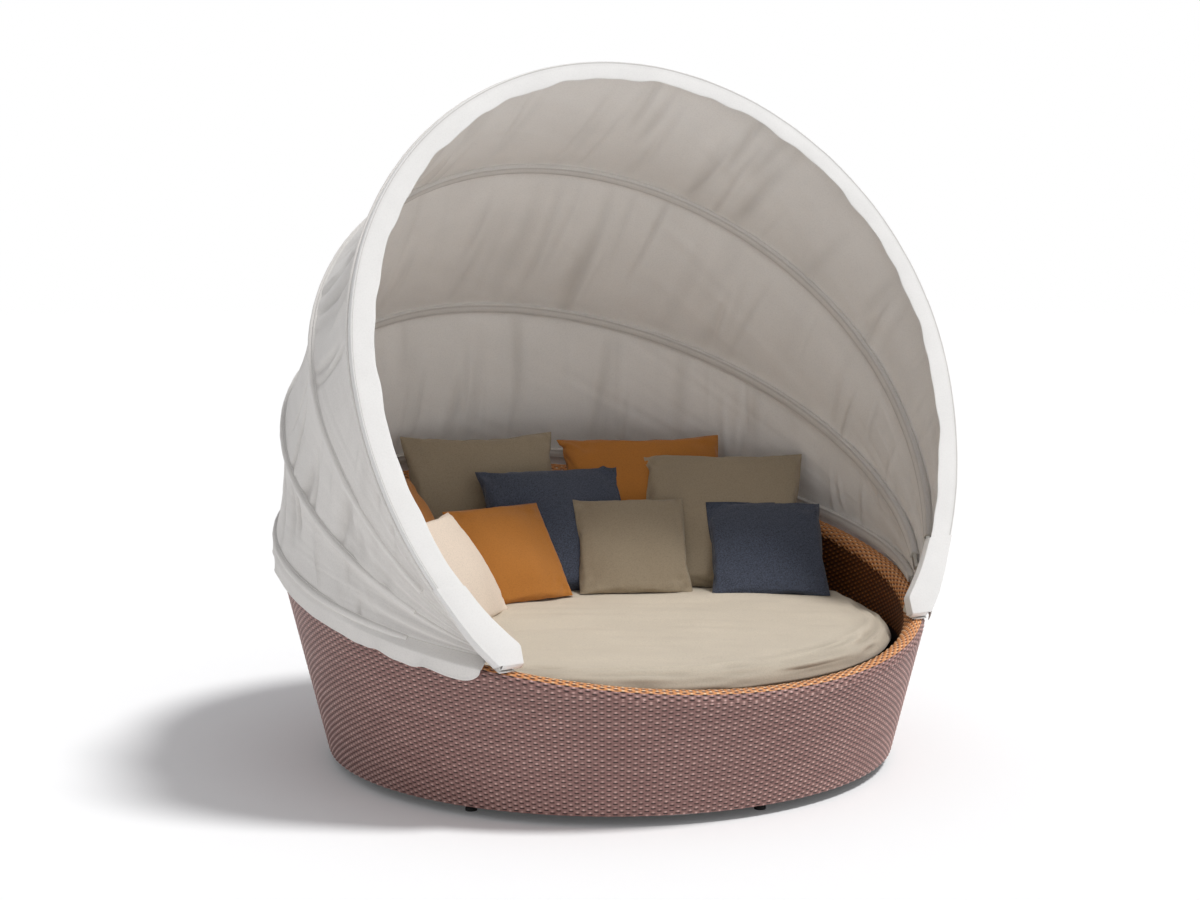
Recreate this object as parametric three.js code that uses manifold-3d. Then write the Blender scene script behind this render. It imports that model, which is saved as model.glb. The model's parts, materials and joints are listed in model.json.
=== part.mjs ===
// Round outdoor daybed: a woven basket cut on a slant, a thick round mattress, nine pillows and a canopy
// of fabric on four hoops, three of which fold back about one pin at each side of the rim.
// Millimetres, +Z up, front towards -Y. The origin is on the floor under the centre of the basket.
import * as THREE from 'three';
import { mergeVertices } from 'three/addons/utils/BufferGeometryUtils.js';
import Module from 'manifold-3d';

const wasm = await Module();
wasm.setup();

// Clearances and cuts
const joinGap = 0.3;
const cutOverrun = 4;

// Basket: a flared ring of double-skinned weave whose rim lies in one slanted plane
const floorGap = 26;
const baseRadius = 772;
const flareShare = 0.2435;
const rimFront = 335;
const rimBack = 690;
const wallThickness = 52;
const skinThickness = 5;
const footLip = 32;
const basketSteps = 60;
const deckSteps = 48;
const capSteps = 4;

// Hidden metal frame inside the basket wall
const baseBarWidth = 66;
const baseBarHeight = 12;
const railRadius = 12.5;
const uprightRadius = 11;
const uprightCount = 8;
const deckTubeRadius = 12.5;
const deckTubeLevel = 170;
const beamWidth = 40;
const beamHeight = 2 * deckTubeRadius;
const beamSpacing = 420;

// Leg under the middle of the deck frame
const legRadius = 16;
const legPadRadius = 30;
const legPadHeight = 8;
const legPlate = 80;
const legPlateThickness = 4;

// Slatted deck that carries the mattress
const deckClear = 10;
const battenHeight = 12;
const battenWidth = 60;
const slatHeight = 12;
const slatWidth = 110;
const slatGap = 12;

// Feet
const footCount = 6;
const footInset = 56;
const footRadius = 15;
const footStemRadius = 9;
const footPadHeight = 7;

// Mattress
const mattressClear = 16;
const mattressEdgeLevel = 352;
const mattressTop = 384;
const mattressShoulder = 45;
const mattressFootRound = 30;
const mattressSteps = 40;

// Canopy pins: the pin line lies above the middle of the rim
const pinAngle = THREE.MathUtils.degToRad(49);
const pinRise = 30;
const pinRadius = 5;
const boreRadius = 5.3;
const lugPitch = 13;
const lugThickness = 5;
const lugWidth = 24;
const lugRise = 25;
const strapReach = 150;
const strapWeld = 35;
const strapWidth = 15;
const earThickness = 5;
const earRadius = 15;
const flangeDepth = 36;
const flangeThickness = 4;
const bossRadius = 11;
const headRadius = 8.5;
const headThickness = 5;
const spacerRadius = 8;

// Canopy hoops, each measured in its own plane from the pin line, in shares of the basket's base radius: half its
// greatest width, how far from the pins it is widest and how far it reaches; then its rise above the rim in degrees
const tubeRadius = 9;
const hoopSteps = 40;
const rearDrop = 14;
const hoopShares = {
  front: { half: 1.1528, widest: 0.8821, reach: 1.978, rise: 58.23 },
  middle: { half: 1.1516, widest: 0.8782, reach: 1.9845, rise: 39.03 },
  back: { half: 1.1399, widest: 0.8459, reach: 2.0311, rise: 17.93 },
  rear: { half: 1.149, widest: 0.7733, reach: 1.9521, rise: 1.03 },
};

// Saddles between the rim and the rear hoop
const clipAngles = [-142, 180, 142];
const clipFootRadius = 16;
const clipFootThickness = 3;
const clipRadius = 8;
const clipHeight = 60;

// Canopy fabric
const clothThickness = 4;
const clothReach = 40;
const seamGap = 0.6;
const sagShare = 0.027;
const rippleShare = 0.012;
const rippleCount = 9;
const panelRows = 5;
const bandWidth = 63;
const bandOut = 15;
const bandThickness = 4;
const bandAhead = lugWidth / 2 + joinGap;
const bandLip = 3;
const bandStop = 0.3;
const bandReach = 60;
const cuffOut = 24;
const cuffIn = 56;
const cuffThickness = 4;
const cuffLevels = [-20, 25, 60, 95, 140, 180];
const cuffInset = 38;
const cuffBack = 12;
const cuffInnerBack = 5;
const skirtDrop = 36;
const skirtTail = THREE.MathUtils.degToRad(6);
const skirtTailDrop = 6;
const skirtClear = 11;
const skirtFold = 3;
const skirtScallop = 3;
const skirtSteps = 2 * hoopSteps;
const skirtFolds = 20;

// Pillows, in shares of the mattress radius: place of the lower edge, size and greatest thickness; then the
// turn and the backward lean in degrees
const pillowGrid = 8;
const pillowPullShare = 0.06;
const pillowSink = 14;
const pillowShares = [
  { name: 'pillow_taupe_back', x: -0.0753, y: 0.7097, size: 0.5936, plump: 0.1404, turn: -13, lean: 25, tone: 'taupe' },
  { name: 'pillow_orange_back', x: 0.4417, y: 0.3702, size: 0.6383, plump: 0.1404, turn: -20, lean: 36, tone: 'orange' },
  { name: 'pillow_orange_left', x: -0.5004, y: 0.3038, size: 0.5081, plump: 0.1277, turn: 41, lean: 29, tone: 'orange' },
  { name: 'pillow_blue_back', x: 0.0766, y: 0.3702, size: 0.5668, plump: 0.134, turn: -12, lean: 41, tone: 'blue' },
  { name: 'pillow_taupe_right', x: 0.5693, y: 0.1404, size: 0.6127, plump: 0.134, turn: -34, lean: 41, tone: 'taupe' },
  { name: 'pillow_orange_front', x: -0.1557, y: 0.2885, size: 0.4085, plump: 0.1149, turn: 5, lean: 37, tone: 'orange' },
  { name: 'pillow_taupe_front', x: 0.2528, y: 0.2247, size: 0.4238, plump: 0.1149, turn: -24, lean: 40, tone: 'taupe' },
  { name: 'pillow_blue_front', x: 0.6702, y: -0.0408, size: 0.4378, plump: 0.1149, turn: -29, lean: 46, tone: 'blue' },
  { name: 'pillow_beige_left', x: -0.4506, y: 0.074, size: 0.4149, plump: 0.134, turn: 41, lean: 33, tone: 'beige' },
];

const finishes = {
  wicker: new THREE.MeshStandardMaterial({ color: 0x8a6460, roughness: 0.6, metalness: 0 }),
  rim: new THREE.MeshStandardMaterial({ color: 0xc8854a, roughness: 0.6, metalness: 0 }),
  lining: new THREE.MeshStandardMaterial({ color: 0x8a5226, roughness: 0.6, metalness: 0 }),
  frame: new THREE.MeshStandardMaterial({ color: 0x3c3532, roughness: 0.5, metalness: 0.8 }),
  hoop: new THREE.MeshStandardMaterial({ color: 0xb9b7b2, roughness: 0.4, metalness: 0.9 }),
  steel: new THREE.MeshStandardMaterial({ color: 0x9a9a98, roughness: 0.3, metalness: 1 }),
  deck: new THREE.MeshStandardMaterial({ color: 0x9c7a55, roughness: 0.7, metalness: 0 }),
  foot: new THREE.MeshStandardMaterial({ color: 0x151414, roughness: 0.7, metalness: 0 }),
  canvas: new THREE.MeshStandardMaterial({ color: 0xc9c5c1, roughness: 0.9, metalness: 0 }),
  piping: new THREE.MeshStandardMaterial({ color: 0xf1efec, roughness: 0.9, metalness: 0 }),
  mattress: new THREE.MeshStandardMaterial({ color: 0xcfc3b0, roughness: 0.9, metalness: 0 }),
  taupe: new THREE.MeshStandardMaterial({ color: 0x8b7d6a, roughness: 0.9, metalness: 0 }),
  orange: new THREE.MeshStandardMaterial({ color: 0xb5762f, roughness: 0.85, metalness: 0 }),
  blue: new THREE.MeshStandardMaterial({ color: 0x4c5468, roughness: 0.9, metalness: 0 }),
  beige: new THREE.MeshStandardMaterial({ color: 0xdccab8, roughness: 0.9, metalness: 0 }),
};

// Solids

function merged(geometry) {
  geometry.deleteAttribute('normal');
  geometry.deleteAttribute('uv');
  return mergeVertices(geometry);
}

function signedVolume(geometry) {
  const position = geometry.attributes.position;
  const [a, b, c] = [new THREE.Vector3(), new THREE.Vector3(), new THREE.Vector3()];
  let sum = 0;
  for (let i = 0; i < geometry.index.count; i += 3) {
    a.fromBufferAttribute(position, geometry.index.getX(i));
    b.fromBufferAttribute(position, geometry.index.getX(i + 1));
    c.fromBufferAttribute(position, geometry.index.getX(i + 2));
    sum += a.dot(b.cross(c));
  }
  return sum;
}

function facedOut(geometry) {
  const body = merged(geometry);
  if (signedVolume(body) < 0) {
    const index = body.index.array;
    for (let i = 0; i < index.length; i += 3) {
      [index[i], index[i + 1]] = [index[i + 1], index[i]];
    }
  }
  body.computeVertexNormals();
  return body;
}

function fromPoints(points, faces) {
  const geometry = new THREE.BufferGeometry();
  geometry.setAttribute('position', new THREE.Float32BufferAttribute(points.flatMap((p) => p.toArray()), 3));
  geometry.setIndex(faces.flat());
  return facedOut(geometry);
}

function toSolid(geometry) {
  const body = facedOut(geometry.clone());
  const vertProperties = Float32Array.from(body.attributes.position.array);
  const triVerts = Uint32Array.from(body.index.array);
  return new wasm.Manifold(new wasm.Mesh({ numProp: 3, vertProperties, triVerts }));
}

function toGeometry(solid) {
  const mesh = solid.getMesh();
  const geometry = new THREE.BufferGeometry();
  geometry.setAttribute('position', new THREE.BufferAttribute(Float32Array.from(mesh.vertProperties), 3));
  geometry.setIndex(new THREE.BufferAttribute(Uint32Array.from(mesh.triVerts), 1));
  geometry.computeVertexNormals();
  return geometry;
}

function combine(parts, cutters) {
  let solid = toSolid(parts[0]);
  for (const part of parts.slice(1)) {
    solid = solid.add(toSolid(part));
  }
  for (const cutter of cutters) {
    solid = solid.subtract(toSolid(cutter));
  }
  return toGeometry(solid);
}

// Skins a run of outlines, each a list of points, into one body; an open run gets flat end caps
function skinned(outlines, closed, capShape) {
  const count = outlines[0].length;
  const rows = outlines.length;
  const faces = [];
  for (let i = 0; i < (closed ? rows : rows - 1); i += 1) {
    const next = (i + 1) % rows;
    for (let j = 0; j < count; j += 1) {
      const side = (j + 1) % count;
      faces.push([i * count + j, i * count + side, next * count + side]);
      faces.push([i * count + j, next * count + side, next * count + j]);
    }
  }
  if (!closed) {
    for (const [a, b, c] of THREE.ShapeUtils.triangulateShape(capShape, [])) {
      const last = (rows - 1) * count;
      faces.push(THREE.ShapeUtils.isClockWise(capShape) ? [a, b, c] : [a, c, b]);
      faces.push(THREE.ShapeUtils.isClockWise(capShape) ? [last + a, last + c, last + b] : [last + a, last + b, last + c]);
    }
  }
  return fromPoints(outlines.flat(), faces);
}

// Closes two layers of cloth, given as rows of points, along their four edges
function sheetBody(inner, outer) {
  const rows = inner.length;
  const count = inner[0].length;
  const layer = rows * count;
  const faces = [];
  const quad = (a, b, c, d) => faces.push([a, b, c], [a, c, d]);
  for (let i = 0; i < rows - 1; i += 1) {
    for (let j = 0; j < count - 1; j += 1) {
      const k = i * count + j;
      quad(k, k + 1, k + count + 1, k + count);
      quad(layer + k, layer + k + count, layer + k + count + 1, layer + k + 1);
    }
  }
  for (let i = 0; i < rows - 1; i += 1) {
    const left = i * count;
    const right = left + count - 1;
    quad(left, left + count, layer + left + count, layer + left);
    quad(right, layer + right, layer + right + count, right + count);
  }
  for (let j = 0; j < count - 1; j += 1) {
    const far = (rows - 1) * count + j;
    quad(j, layer + j, layer + j + 1, j + 1);
    quad(far, far + 1, layer + far + 1, layer + far);
  }
  return fromPoints([...inner.flat(), ...outer.flat()], faces);
}

function revolved(profile, steps) {
  const points = profile.map(([radius, height]) => new THREE.Vector2(radius, height));
  return new THREE.LatheGeometry(points, steps).rotateX(Math.PI / 2);
}

function ringProfile(centre, level, radius, sides) {
  return Array.from({ length: sides + 1 }, (_, i) => {
    const turn = (i % sides) * 2 * Math.PI / sides;
    return [centre + radius * Math.cos(turn), level + radius * Math.sin(turn)];
  });
}

function alongX(radius, length, sides) {
  return new THREE.CylinderGeometry(radius, radius, length, sides).rotateZ(Math.PI / 2);
}

function mirroredX(geometry) {
  return facedOut(geometry.clone().applyMatrix4(new THREE.Matrix4().makeScale(-1, 1, 1)));
}

// Basket

const wallRadius = (height) => baseRadius + flareShare * (height - floorGap);
const rimSlopeShare = (rimBack - rimFront) / (wallRadius(rimFront) + wallRadius(rimBack));

// The rim plane rises from the front; the angle runs from the front towards +X
function rimHeight(angle) {
  const level = rimFront + rimSlopeShare * wallRadius(rimFront);
  const pull = rimSlopeShare * Math.cos(angle);
  return (level - pull * (baseRadius - flareShare * floorGap)) / (1 + pull * flareShare);
}

function wallPoint(angle, inset, height) {
  const radius = wallRadius(height) - inset;
  return new THREE.Vector3(radius * Math.sin(angle), -radius * Math.cos(angle), height);
}

const capRadius = wallThickness / 2;
const cavityRadius = capRadius - skinThickness;
const deckTubeTop = deckTubeLevel + deckTubeRadius;

const capLevel = (angle) => rimHeight(angle) - capRadius;

// A ring of the wall, from a section given as insets from its outer face and heights at each angle
function wallRing(section) {
  const outlines = Array.from({ length: basketSteps }, (_, i) => {
    const angle = i * 2 * Math.PI / basketSteps;
    return section(angle).map(([inset, height]) => wallPoint(angle, inset, height));
  });
  return skinned(outlines, true);
}

// Outer weave, turned in under the wall to a lip at its foot
function outerWeave() {
  return wallRing((angle) => {
    const top = capLevel(angle) - joinGap;
    const lip = skinThickness + footLip;
    return [[0, floorGap], [0, top], [skinThickness, top], [skinThickness, floorGap + skinThickness],
      [lip, floorGap + skinThickness], [lip, floorGap]];
  });
}

// Inner weave, down to the tube that carries the deck
function innerWeave() {
  return wallRing((angle) => {
    const top = capLevel(angle) - joinGap;
    const inside = wallThickness - skinThickness;
    return [[wallThickness, top], [wallThickness, deckTubeTop + joinGap], [inside, deckTubeTop + joinGap], [inside, top]];
  });
}

const rimTilt = Math.atan(rimSlopeShare);
const pinBase = wallPoint(pinAngle, capRadius, rimHeight(pinAngle));
const pinSpan = pinBase.x;
const pinPoint = new THREE.Vector3(0, 0, pinRise).applyAxisAngle(new THREE.Vector3(1, 0, 0), rimTilt).add(pinBase);
pinPoint.setX(0);

// Wrapped rim: half a round over the wall's top, with a hole at each side for the bracket's boss
function wrappedRim() {
  const arc = (angle, radius) => Array.from({ length: capSteps + 1 }, (_, i) => {
    const turn = Math.PI * i / capSteps;
    return [capRadius - radius * Math.cos(turn), capLevel(angle) + radius * Math.sin(turn)];
  });
  const ring = wallRing((angle) => [...arc(angle, capRadius), ...arc(angle, cavityRadius).reverse()]);
  const holes = [-1, 1].map((side) => {
    const hole = new THREE.CylinderGeometry(bossRadius + joinGap, bossRadius + joinGap, capRadius, 16);
    return hole.rotateX(Math.PI / 2 + rimTilt).translate(side * pinSpan, pinBase.y, pinBase.z);
  });
  return combine([ring], holes);
}

const railLift = cavityRadius * Math.cos(Math.PI / capSteps / 2) - railRadius - joinGap;

const railLevel = (angle) => capLevel(angle) + railLift;

// A tube round the rim, close under the rounded top of the cavity
function rimRail(radius) {
  const sides = 6;
  const outlines = Array.from({ length: basketSteps }, (_, i) => {
    const angle = i * 2 * Math.PI / basketSteps;
    return Array.from({ length: sides }, (__, j) => {
      const turn = j * 2 * Math.PI / sides;
      return wallPoint(angle, capRadius - radius * Math.cos(turn), railLevel(angle) + radius * Math.sin(turn));
    });
  });
  return skinned(outlines, true);
}

const baseBarLevel = floorGap + skinThickness + joinGap;
const baseBarOuter = (wallRadius(baseBarLevel) - skinThickness) * Math.cos(Math.PI / basketSteps) - joinGap;
const baseBarTop = baseBarLevel + baseBarHeight;

function baseBar() {
  const inner = baseBarOuter - baseBarWidth;
  const profile = [[inner, baseBarLevel], [baseBarOuter, baseBarLevel], [baseBarOuter, baseBarTop],
    [inner, baseBarTop], [inner, baseBarLevel]];
  return facedOut(revolved(profile, deckSteps));
}

function upright(angle) {
  const low = wallPoint(angle, capRadius, baseBarTop + joinGap);
  const high = wallPoint(angle, capRadius, railLevel(angle));
  const axis = high.clone().sub(low);
  const tube = new THREE.CylinderGeometry(uprightRadius, uprightRadius, axis.length() + 2 * cutOverrun, 8);
  tube.applyQuaternion(new THREE.Quaternion().setFromUnitVectors(new THREE.Vector3(0, 1, 0), axis.clone().normalize()));
  tube.translate(...low.clone().add(high).multiplyScalar(1 / 2).toArray());
  const size = 2 * baseRadius + 2 * wallThickness;
  const floorCut = new THREE.BoxGeometry(size, size, baseRadius);
  floorCut.translate(0, 0, baseBarTop + joinGap - baseRadius / 2);
  const aboveRail = rimRail(railRadius + joinGap);
  const body = toSolid(tube).subtract(toSolid(floorCut)).subtract(toSolid(aboveRail));
  const pieces = body.decompose().sort((a, b) => b.volume() - a.volume());
  return toGeometry(pieces[0]);
}

const deckTubeCircle = wallRadius(deckTubeLevel) - capRadius - uprightRadius - deckTubeRadius - joinGap;

function deckFrame() {
  const tube = revolved(ringProfile(deckTubeCircle, deckTubeLevel, deckTubeRadius, 8), deckSteps);
  const beams = [-1, 0, 1].map((place) => {
    const offset = place * beamSpacing;
    const length = 2 * Math.sqrt(deckTubeCircle ** 2 - offset ** 2);
    return new THREE.BoxGeometry(beamWidth, length, beamHeight).translate(offset, 0, deckTubeLevel);
  });
  return combine([tube, ...beams], []);
}

const deckRadius = wallRadius(deckTubeTop) - wallThickness - deckClear;
const slatSpacing = slatWidth + slatGap;
const slatCount = Math.round(2 * deckRadius / slatSpacing);

function seatDeck() {
  const battenLevel = deckTubeTop + joinGap + battenHeight / 2;
  const slatLevel = battenLevel + battenHeight / 2 + slatHeight / 2;
  const outline = revolved([[0, 0], [deckRadius, 0], [deckRadius, slatLevel + slatHeight], [0, slatLevel + slatHeight]],
    deckSteps);
  const boards = Array.from({ length: slatCount }, (_, i) => {
    const place = (i - (slatCount - 1) / 2) * slatSpacing;
    return new THREE.BoxGeometry(2 * deckRadius + cutOverrun, slatWidth, slatHeight).translate(0, place, slatLevel);
  });
  const battens = [-1, 0, 1].map((place) => {
    const batten = new THREE.BoxGeometry(battenWidth, 2 * deckRadius + cutOverrun, battenHeight + joinGap);
    return batten.translate(place * beamSpacing, 0, battenLevel + joinGap / 2);
  });
  return toGeometry(toSolid(combine([...boards, ...battens], [])).intersect(toSolid(outline)));
}

const deckTop = deckTubeTop + joinGap + battenHeight + slatHeight;
const footCircle = baseRadius - footInset;

function foot() {
  const top = baseBarLevel - joinGap;
  return facedOut(revolved([[0, 0], [footRadius, 0], [footRadius, footPadHeight],
    [footStemRadius, footPadHeight + (footRadius - footStemRadius)], [footStemRadius, top], [0, top]], 16));
}

function centreLeg() {
  const top = deckTubeLevel - beamHeight / 2 - joinGap;
  const post = revolved([[0, 0], [legPadRadius, 0], [legPadRadius, legPadHeight], [legRadius, legPadHeight],
    [legRadius, top - legPlateThickness / 2], [0, top - legPlateThickness / 2]], 24);
  const plate = new THREE.BoxGeometry(legPlate, legPlate, legPlateThickness).translate(0, 0, top - legPlateThickness / 2);
  return combine([post, plate], []);
}

// Soft furnishings

const mattressRadius = wallRadius(mattressEdgeLevel) - wallThickness - mattressClear;
const mattressFootRadius = wallRadius(deckTop) - wallThickness - mattressClear;

const pillows = pillowShares.map((share) => ({
  ...share,
  x: mattressRadius * share.x,
  y: mattressRadius * share.y,
  size: mattressRadius * share.size,
  plump: mattressRadius * share.plump,
}));

// Mattress profile: flat underside, drawn-in foot, side leaning out with the basket, round shoulder and crown
function mattressProfile(grow) {
  const low = deckTop + joinGap - grow;
  const profile = [[0, low], [mattressFootRadius - mattressFootRound + grow, low]];
  for (const turn of [-60, -30, 0]) {
    const lean = THREE.MathUtils.degToRad(turn);
    profile.push([mattressFootRadius - mattressFootRound + (mattressFootRound + grow) * Math.cos(lean),
      low + mattressFootRound + mattressFootRound * Math.sin(lean)]);
  }
  for (const turn of [0, 22.5, 45, 67.5, 90]) {
    const lean = THREE.MathUtils.degToRad(turn);
    const crownFall = mattressTop - mattressEdgeLevel;
    profile.push([mattressRadius - mattressShoulder + (mattressShoulder + grow) * Math.cos(lean),
      mattressEdgeLevel + (crownFall * 2 / 3 + grow) * Math.sin(lean)]);
  }
  const flatShares = [0.75, 0.5, 0.25, 0];
  for (const share of flatShares) {
    const radius = (mattressRadius - mattressShoulder) * share;
    const rise = (mattressTop - mattressEdgeLevel) * (1 / 3) * (1 - share ** 2);
    profile.push([radius, mattressTop - (mattressTop - mattressEdgeLevel) / 3 + rise + grow]);
  }
  return profile;
}

const mattressBody = (grow) => facedOut(revolved(mattressProfile(grow), mattressSteps));

// A knife-edged pillow: sides drawn in between pointed corners, crowned front and back
function pillowBody({ x, y, turn, lean, size, plump }, grow) {
  const half = size / 2 + grow;
  const places = Array.from({ length: pillowGrid + 1 }, (_, i) => Math.sin(Math.PI * (i / pillowGrid - 1 / 2)));
  const layer = (sign) => places.map((across) => places.map((up) => {
    const pull = (share) => 1 - pillowPullShare * (1 - share ** 2);
    const crown = Math.max(0, (1 - across ** 2) * (1 - up ** 2)) ** 0.55;
    return new THREE.Vector3(half * across * pull(up), half * up * pull(across), sign * (plump / 2 + grow) * crown);
  }));
  const body = sheetBody(layer(-1), layer(1));
  body.translate(0, size / 2, 0);
  body.rotateX(Math.PI / 2 - THREE.MathUtils.degToRad(lean));
  body.rotateZ(THREE.MathUtils.degToRad(turn));
  return body.translate(x, y, mattressTop - pillowSink);
}

// Each pillow is pressed flat where it meets the mattress and the pillows placed before it
function pillowBodies() {
  const seat = toSolid(mattressBody(joinGap));
  const grown = [];
  return pillows.map((pillow) => {
    let solid = toSolid(pillowBody(pillow, 0)).subtract(seat);
    for (const other of grown) {
      solid = solid.subtract(other);
    }
    grown.push(toSolid(pillowBody(pillow, joinGap)));
    const pieces = solid.decompose().sort((a, b) => b.volume() - a.volume());
    return { pillow, geometry: toGeometry(pieces[0]) };
  });
}

// Canopy hoops; the rear one hangs below the pin line

const hoops = Object.fromEntries(Object.entries(hoopShares).map(([name, share]) => [name, {
  name,
  halfWidth: baseRadius * share.half,
  widestAt: baseRadius * share.widest,
  reach: baseRadius * share.reach,
  tilt: rimTilt + THREE.MathUtils.degToRad(share.rise),
  below: name === 'rear' ? rearDrop : 0,
}]));
const earSpot = lugPitch + lugThickness / 2 + joinGap + earThickness / 2;
const earOuter = earSpot + earThickness / 2;
const lugSpots = {
  front: pinSpan + lugPitch,
  middle: pinSpan,
  back: pinSpan - lugPitch,
  rear: pinSpan - earOuter - joinGap - lugThickness / 2,
};
const shoulderDrop = (hoop) => hoop.widestAt / Math.sqrt(1 - (lugSpots[hoop.name] / hoop.halfWidth) ** 2);
const hoopMatrix = (hoop) => new THREE.Matrix4().makeRotationX(hoop.tilt).setPosition(pinPoint);

// Half the hoop's width at a distance from the pin line, below its widest place
function widthAt(hoop, along) {
  return hoop.halfWidth * Math.sqrt(1 - ((hoop.widestAt - along) / shoulderDrop(hoop)) ** 2);
}

// Turn at a station round the hoop: 0 at the widest place on the right, half a turn on the left. Stations
// run from 0 to hoopSteps between the tube's ends; one before and one after them lie at the given reach
function stationTurn(hoop, station, reach) {
  const below = (along) => Math.asin((hoop.widestAt - along) / shoulderDrop(hoop));
  if (station < 0) {
    return -below(reach);
  }
  if (station > hoopSteps) {
    return Math.PI + below(reach);
  }
  const drop = below(strapReach);
  return -drop + (station / hoopSteps) * (Math.PI + 2 * drop);
}

// A point near the hoop in its own plane: out from the centre line and ahead of the plane
function hoopSpot(hoop, turn, out, ahead) {
  const depth = Math.sin(turn) > 0 ? hoop.reach - hoop.widestAt : shoulderDrop(hoop);
  const normal = new THREE.Vector2(Math.cos(turn) / hoop.halfWidth, Math.sin(turn) / depth).normalize();
  const x = hoop.halfWidth * Math.cos(turn) + out * normal.x;
  const along = hoop.widestAt + depth * Math.sin(turn) + out * normal.y;
  return new THREE.Vector3(x, along, ahead - hoop.below);
}

class HoopLine extends THREE.Curve {
  constructor(hoop) {
    super();
    this.hoop = hoop;
  }

  getPoint(share) {
    return hoopSpot(this.hoop, stationTurn(this.hoop, share * hoopSteps, strapReach), 0, 0);
  }

  getUtoTmapping(share) {
    return share;
  }
}

function circleShape(radius, sides) {
  const points = Array.from({ length: sides }, (_, i) => {
    const turn = i * 2 * Math.PI / sides;
    return new THREE.Vector2(radius * Math.cos(turn), radius * Math.sin(turn));
  });
  return new THREE.Shape(points);
}

// Flat strap at a hoop's end: an eye on the pin, a straight rise past its neighbours, then a bend outwards
function strap(hoop, side) {
  const spot = lugSpots[hoop.name];
  const line = [[spot, 0], [spot, lugRise], [widthAt(hoop, strapReach), strapReach],
    [widthAt(hoop, strapReach + strapWeld), strapReach + strapWeld]];
  const edge = (shift) => line.map(([x, along]) => new THREE.Vector2(side * (x + shift), along));
  const outline = new THREE.Shape([...edge(-lugThickness / 2), ...edge(lugThickness / 2).reverse()]);
  const plate = new THREE.ExtrudeGeometry(outline, { depth: strapWidth, bevelEnabled: false });
  plate.translate(0, 0, -strapWidth / 2 - hoop.below);
  const eye = alongX(lugWidth / 2, lugThickness, 16).translate(side * spot, 0, 0);
  return [plate, eye];
}

// The hoop lies in its own plane: x across, y away from the pins; the rear one hangs below the pin line
function hoopBody(hoop, radius) {
  const tube = new THREE.ExtrudeGeometry(circleShape(radius, 6),
    { steps: hoopSteps, bevelEnabled: false, extrudePath: new HoopLine(hoop) });
  const straps = [-1, 1].flatMap((side) => strap(hoop, side));
  const bore = alongX(boreRadius, 2 * hoop.halfWidth, 16);
  return combine([tube, ...straps], [bore]);
}

// Saddle that holds the rear hoop above the rim: a round foot, a post and a block cut to the tube
function rimClip(angle) {
  const foot = wallPoint(angle, capRadius, rimHeight(angle));
  const tilt = new THREE.Quaternion().setFromUnitVectors(new THREE.Vector3(0, 1, 0),
    new THREE.Vector3(0, -Math.sin(rimTilt), Math.cos(rimTilt)));
  const profile = [[0, joinGap], [clipFootRadius, joinGap], [clipFootRadius, joinGap + clipFootThickness],
    [clipRadius, joinGap + clipFootThickness + clipRadius / 2], [clipRadius, clipHeight], [0, clipHeight]];
  const post = new THREE.LatheGeometry(profile.map(([radius, height]) => new THREE.Vector2(radius, height)), 12);
  post.applyQuaternion(tilt).translate(foot.x, foot.y, foot.z);
  return post;
}

function rimClips() {
  const grown = toSolid(hoopBody(hoops.rear, tubeRadius + joinGap).applyMatrix4(hoopMatrix(hoops.rear)));
  return clipAngles.map((angle) => {
    const pieces = toSolid(rimClip(THREE.MathUtils.degToRad(angle))).subtract(grown).decompose();
    return toGeometry(pieces.sort((a, b) => a.boundingBox().min[2] - b.boundingBox().min[2])[0]);
  });
}

// Canopy cloth, worked out in the pin line's frame

const coverOrder = [hoops.front, hoops.middle, hoops.back, hoops.rear];

function coverPoint(hoop, station, out, ahead) {
  const spot = hoopSpot(hoop, stationTurn(hoop, station, clothReach), out, ahead);
  return spot.applyAxisAngle(new THREE.Vector3(1, 0, 0), hoop.tilt);
}

// Where the skirt is led over the rim: just outside the weave, below the rear hoop
function shoulderPoint(station) {
  const top = coverPoint(hoops.rear, station, tubeRadius, 0).add(pinPoint);
  const angle = Math.atan2(top.x, -top.y);
  return wallPoint(angle, -skirtClear, Math.min(rimHeight(angle), top.z - 2 * tubeRadius)).sub(pinPoint);
}

// Normal of the cloth that leaves a hoop in a given direction
function clothNormal(hoop, station, direction) {
  const centre = coverPoint(hoop, station, 0, 0);
  const outward = coverPoint(hoop, station, 1, 0).sub(centre);
  const tangent = coverPoint(hoop, station, 0, 1).sub(centre).cross(outward);
  const normal = tangent.cross(direction).normalize();
  return normal.dot(outward) < 0 ? normal.negate() : normal;
}

// A point on the mitre line where two lengths of cloth meet over a hoop
function mitrePoint(index, station, level) {
  const hoop = coverOrder[index];
  const centre = coverPoint(hoop, station, 0, 0);
  const before = index > 0 ? centre.clone().sub(coverPoint(coverOrder[index - 1], station, 0, 0))
    : centre.clone().sub(coverPoint(hoop, station, 0, 1));
  const after = index < coverOrder.length - 1 ? coverPoint(coverOrder[index + 1], station, 0, 0).sub(centre)
    : shoulderPoint(station).sub(centre);
  const arriving = clothNormal(hoop, station, before);
  const mitre = arriving.clone().add(clothNormal(hoop, station, after)).normalize();
  return centre.addScaledVector(mitre, level / mitre.dot(arriving));
}

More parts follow.
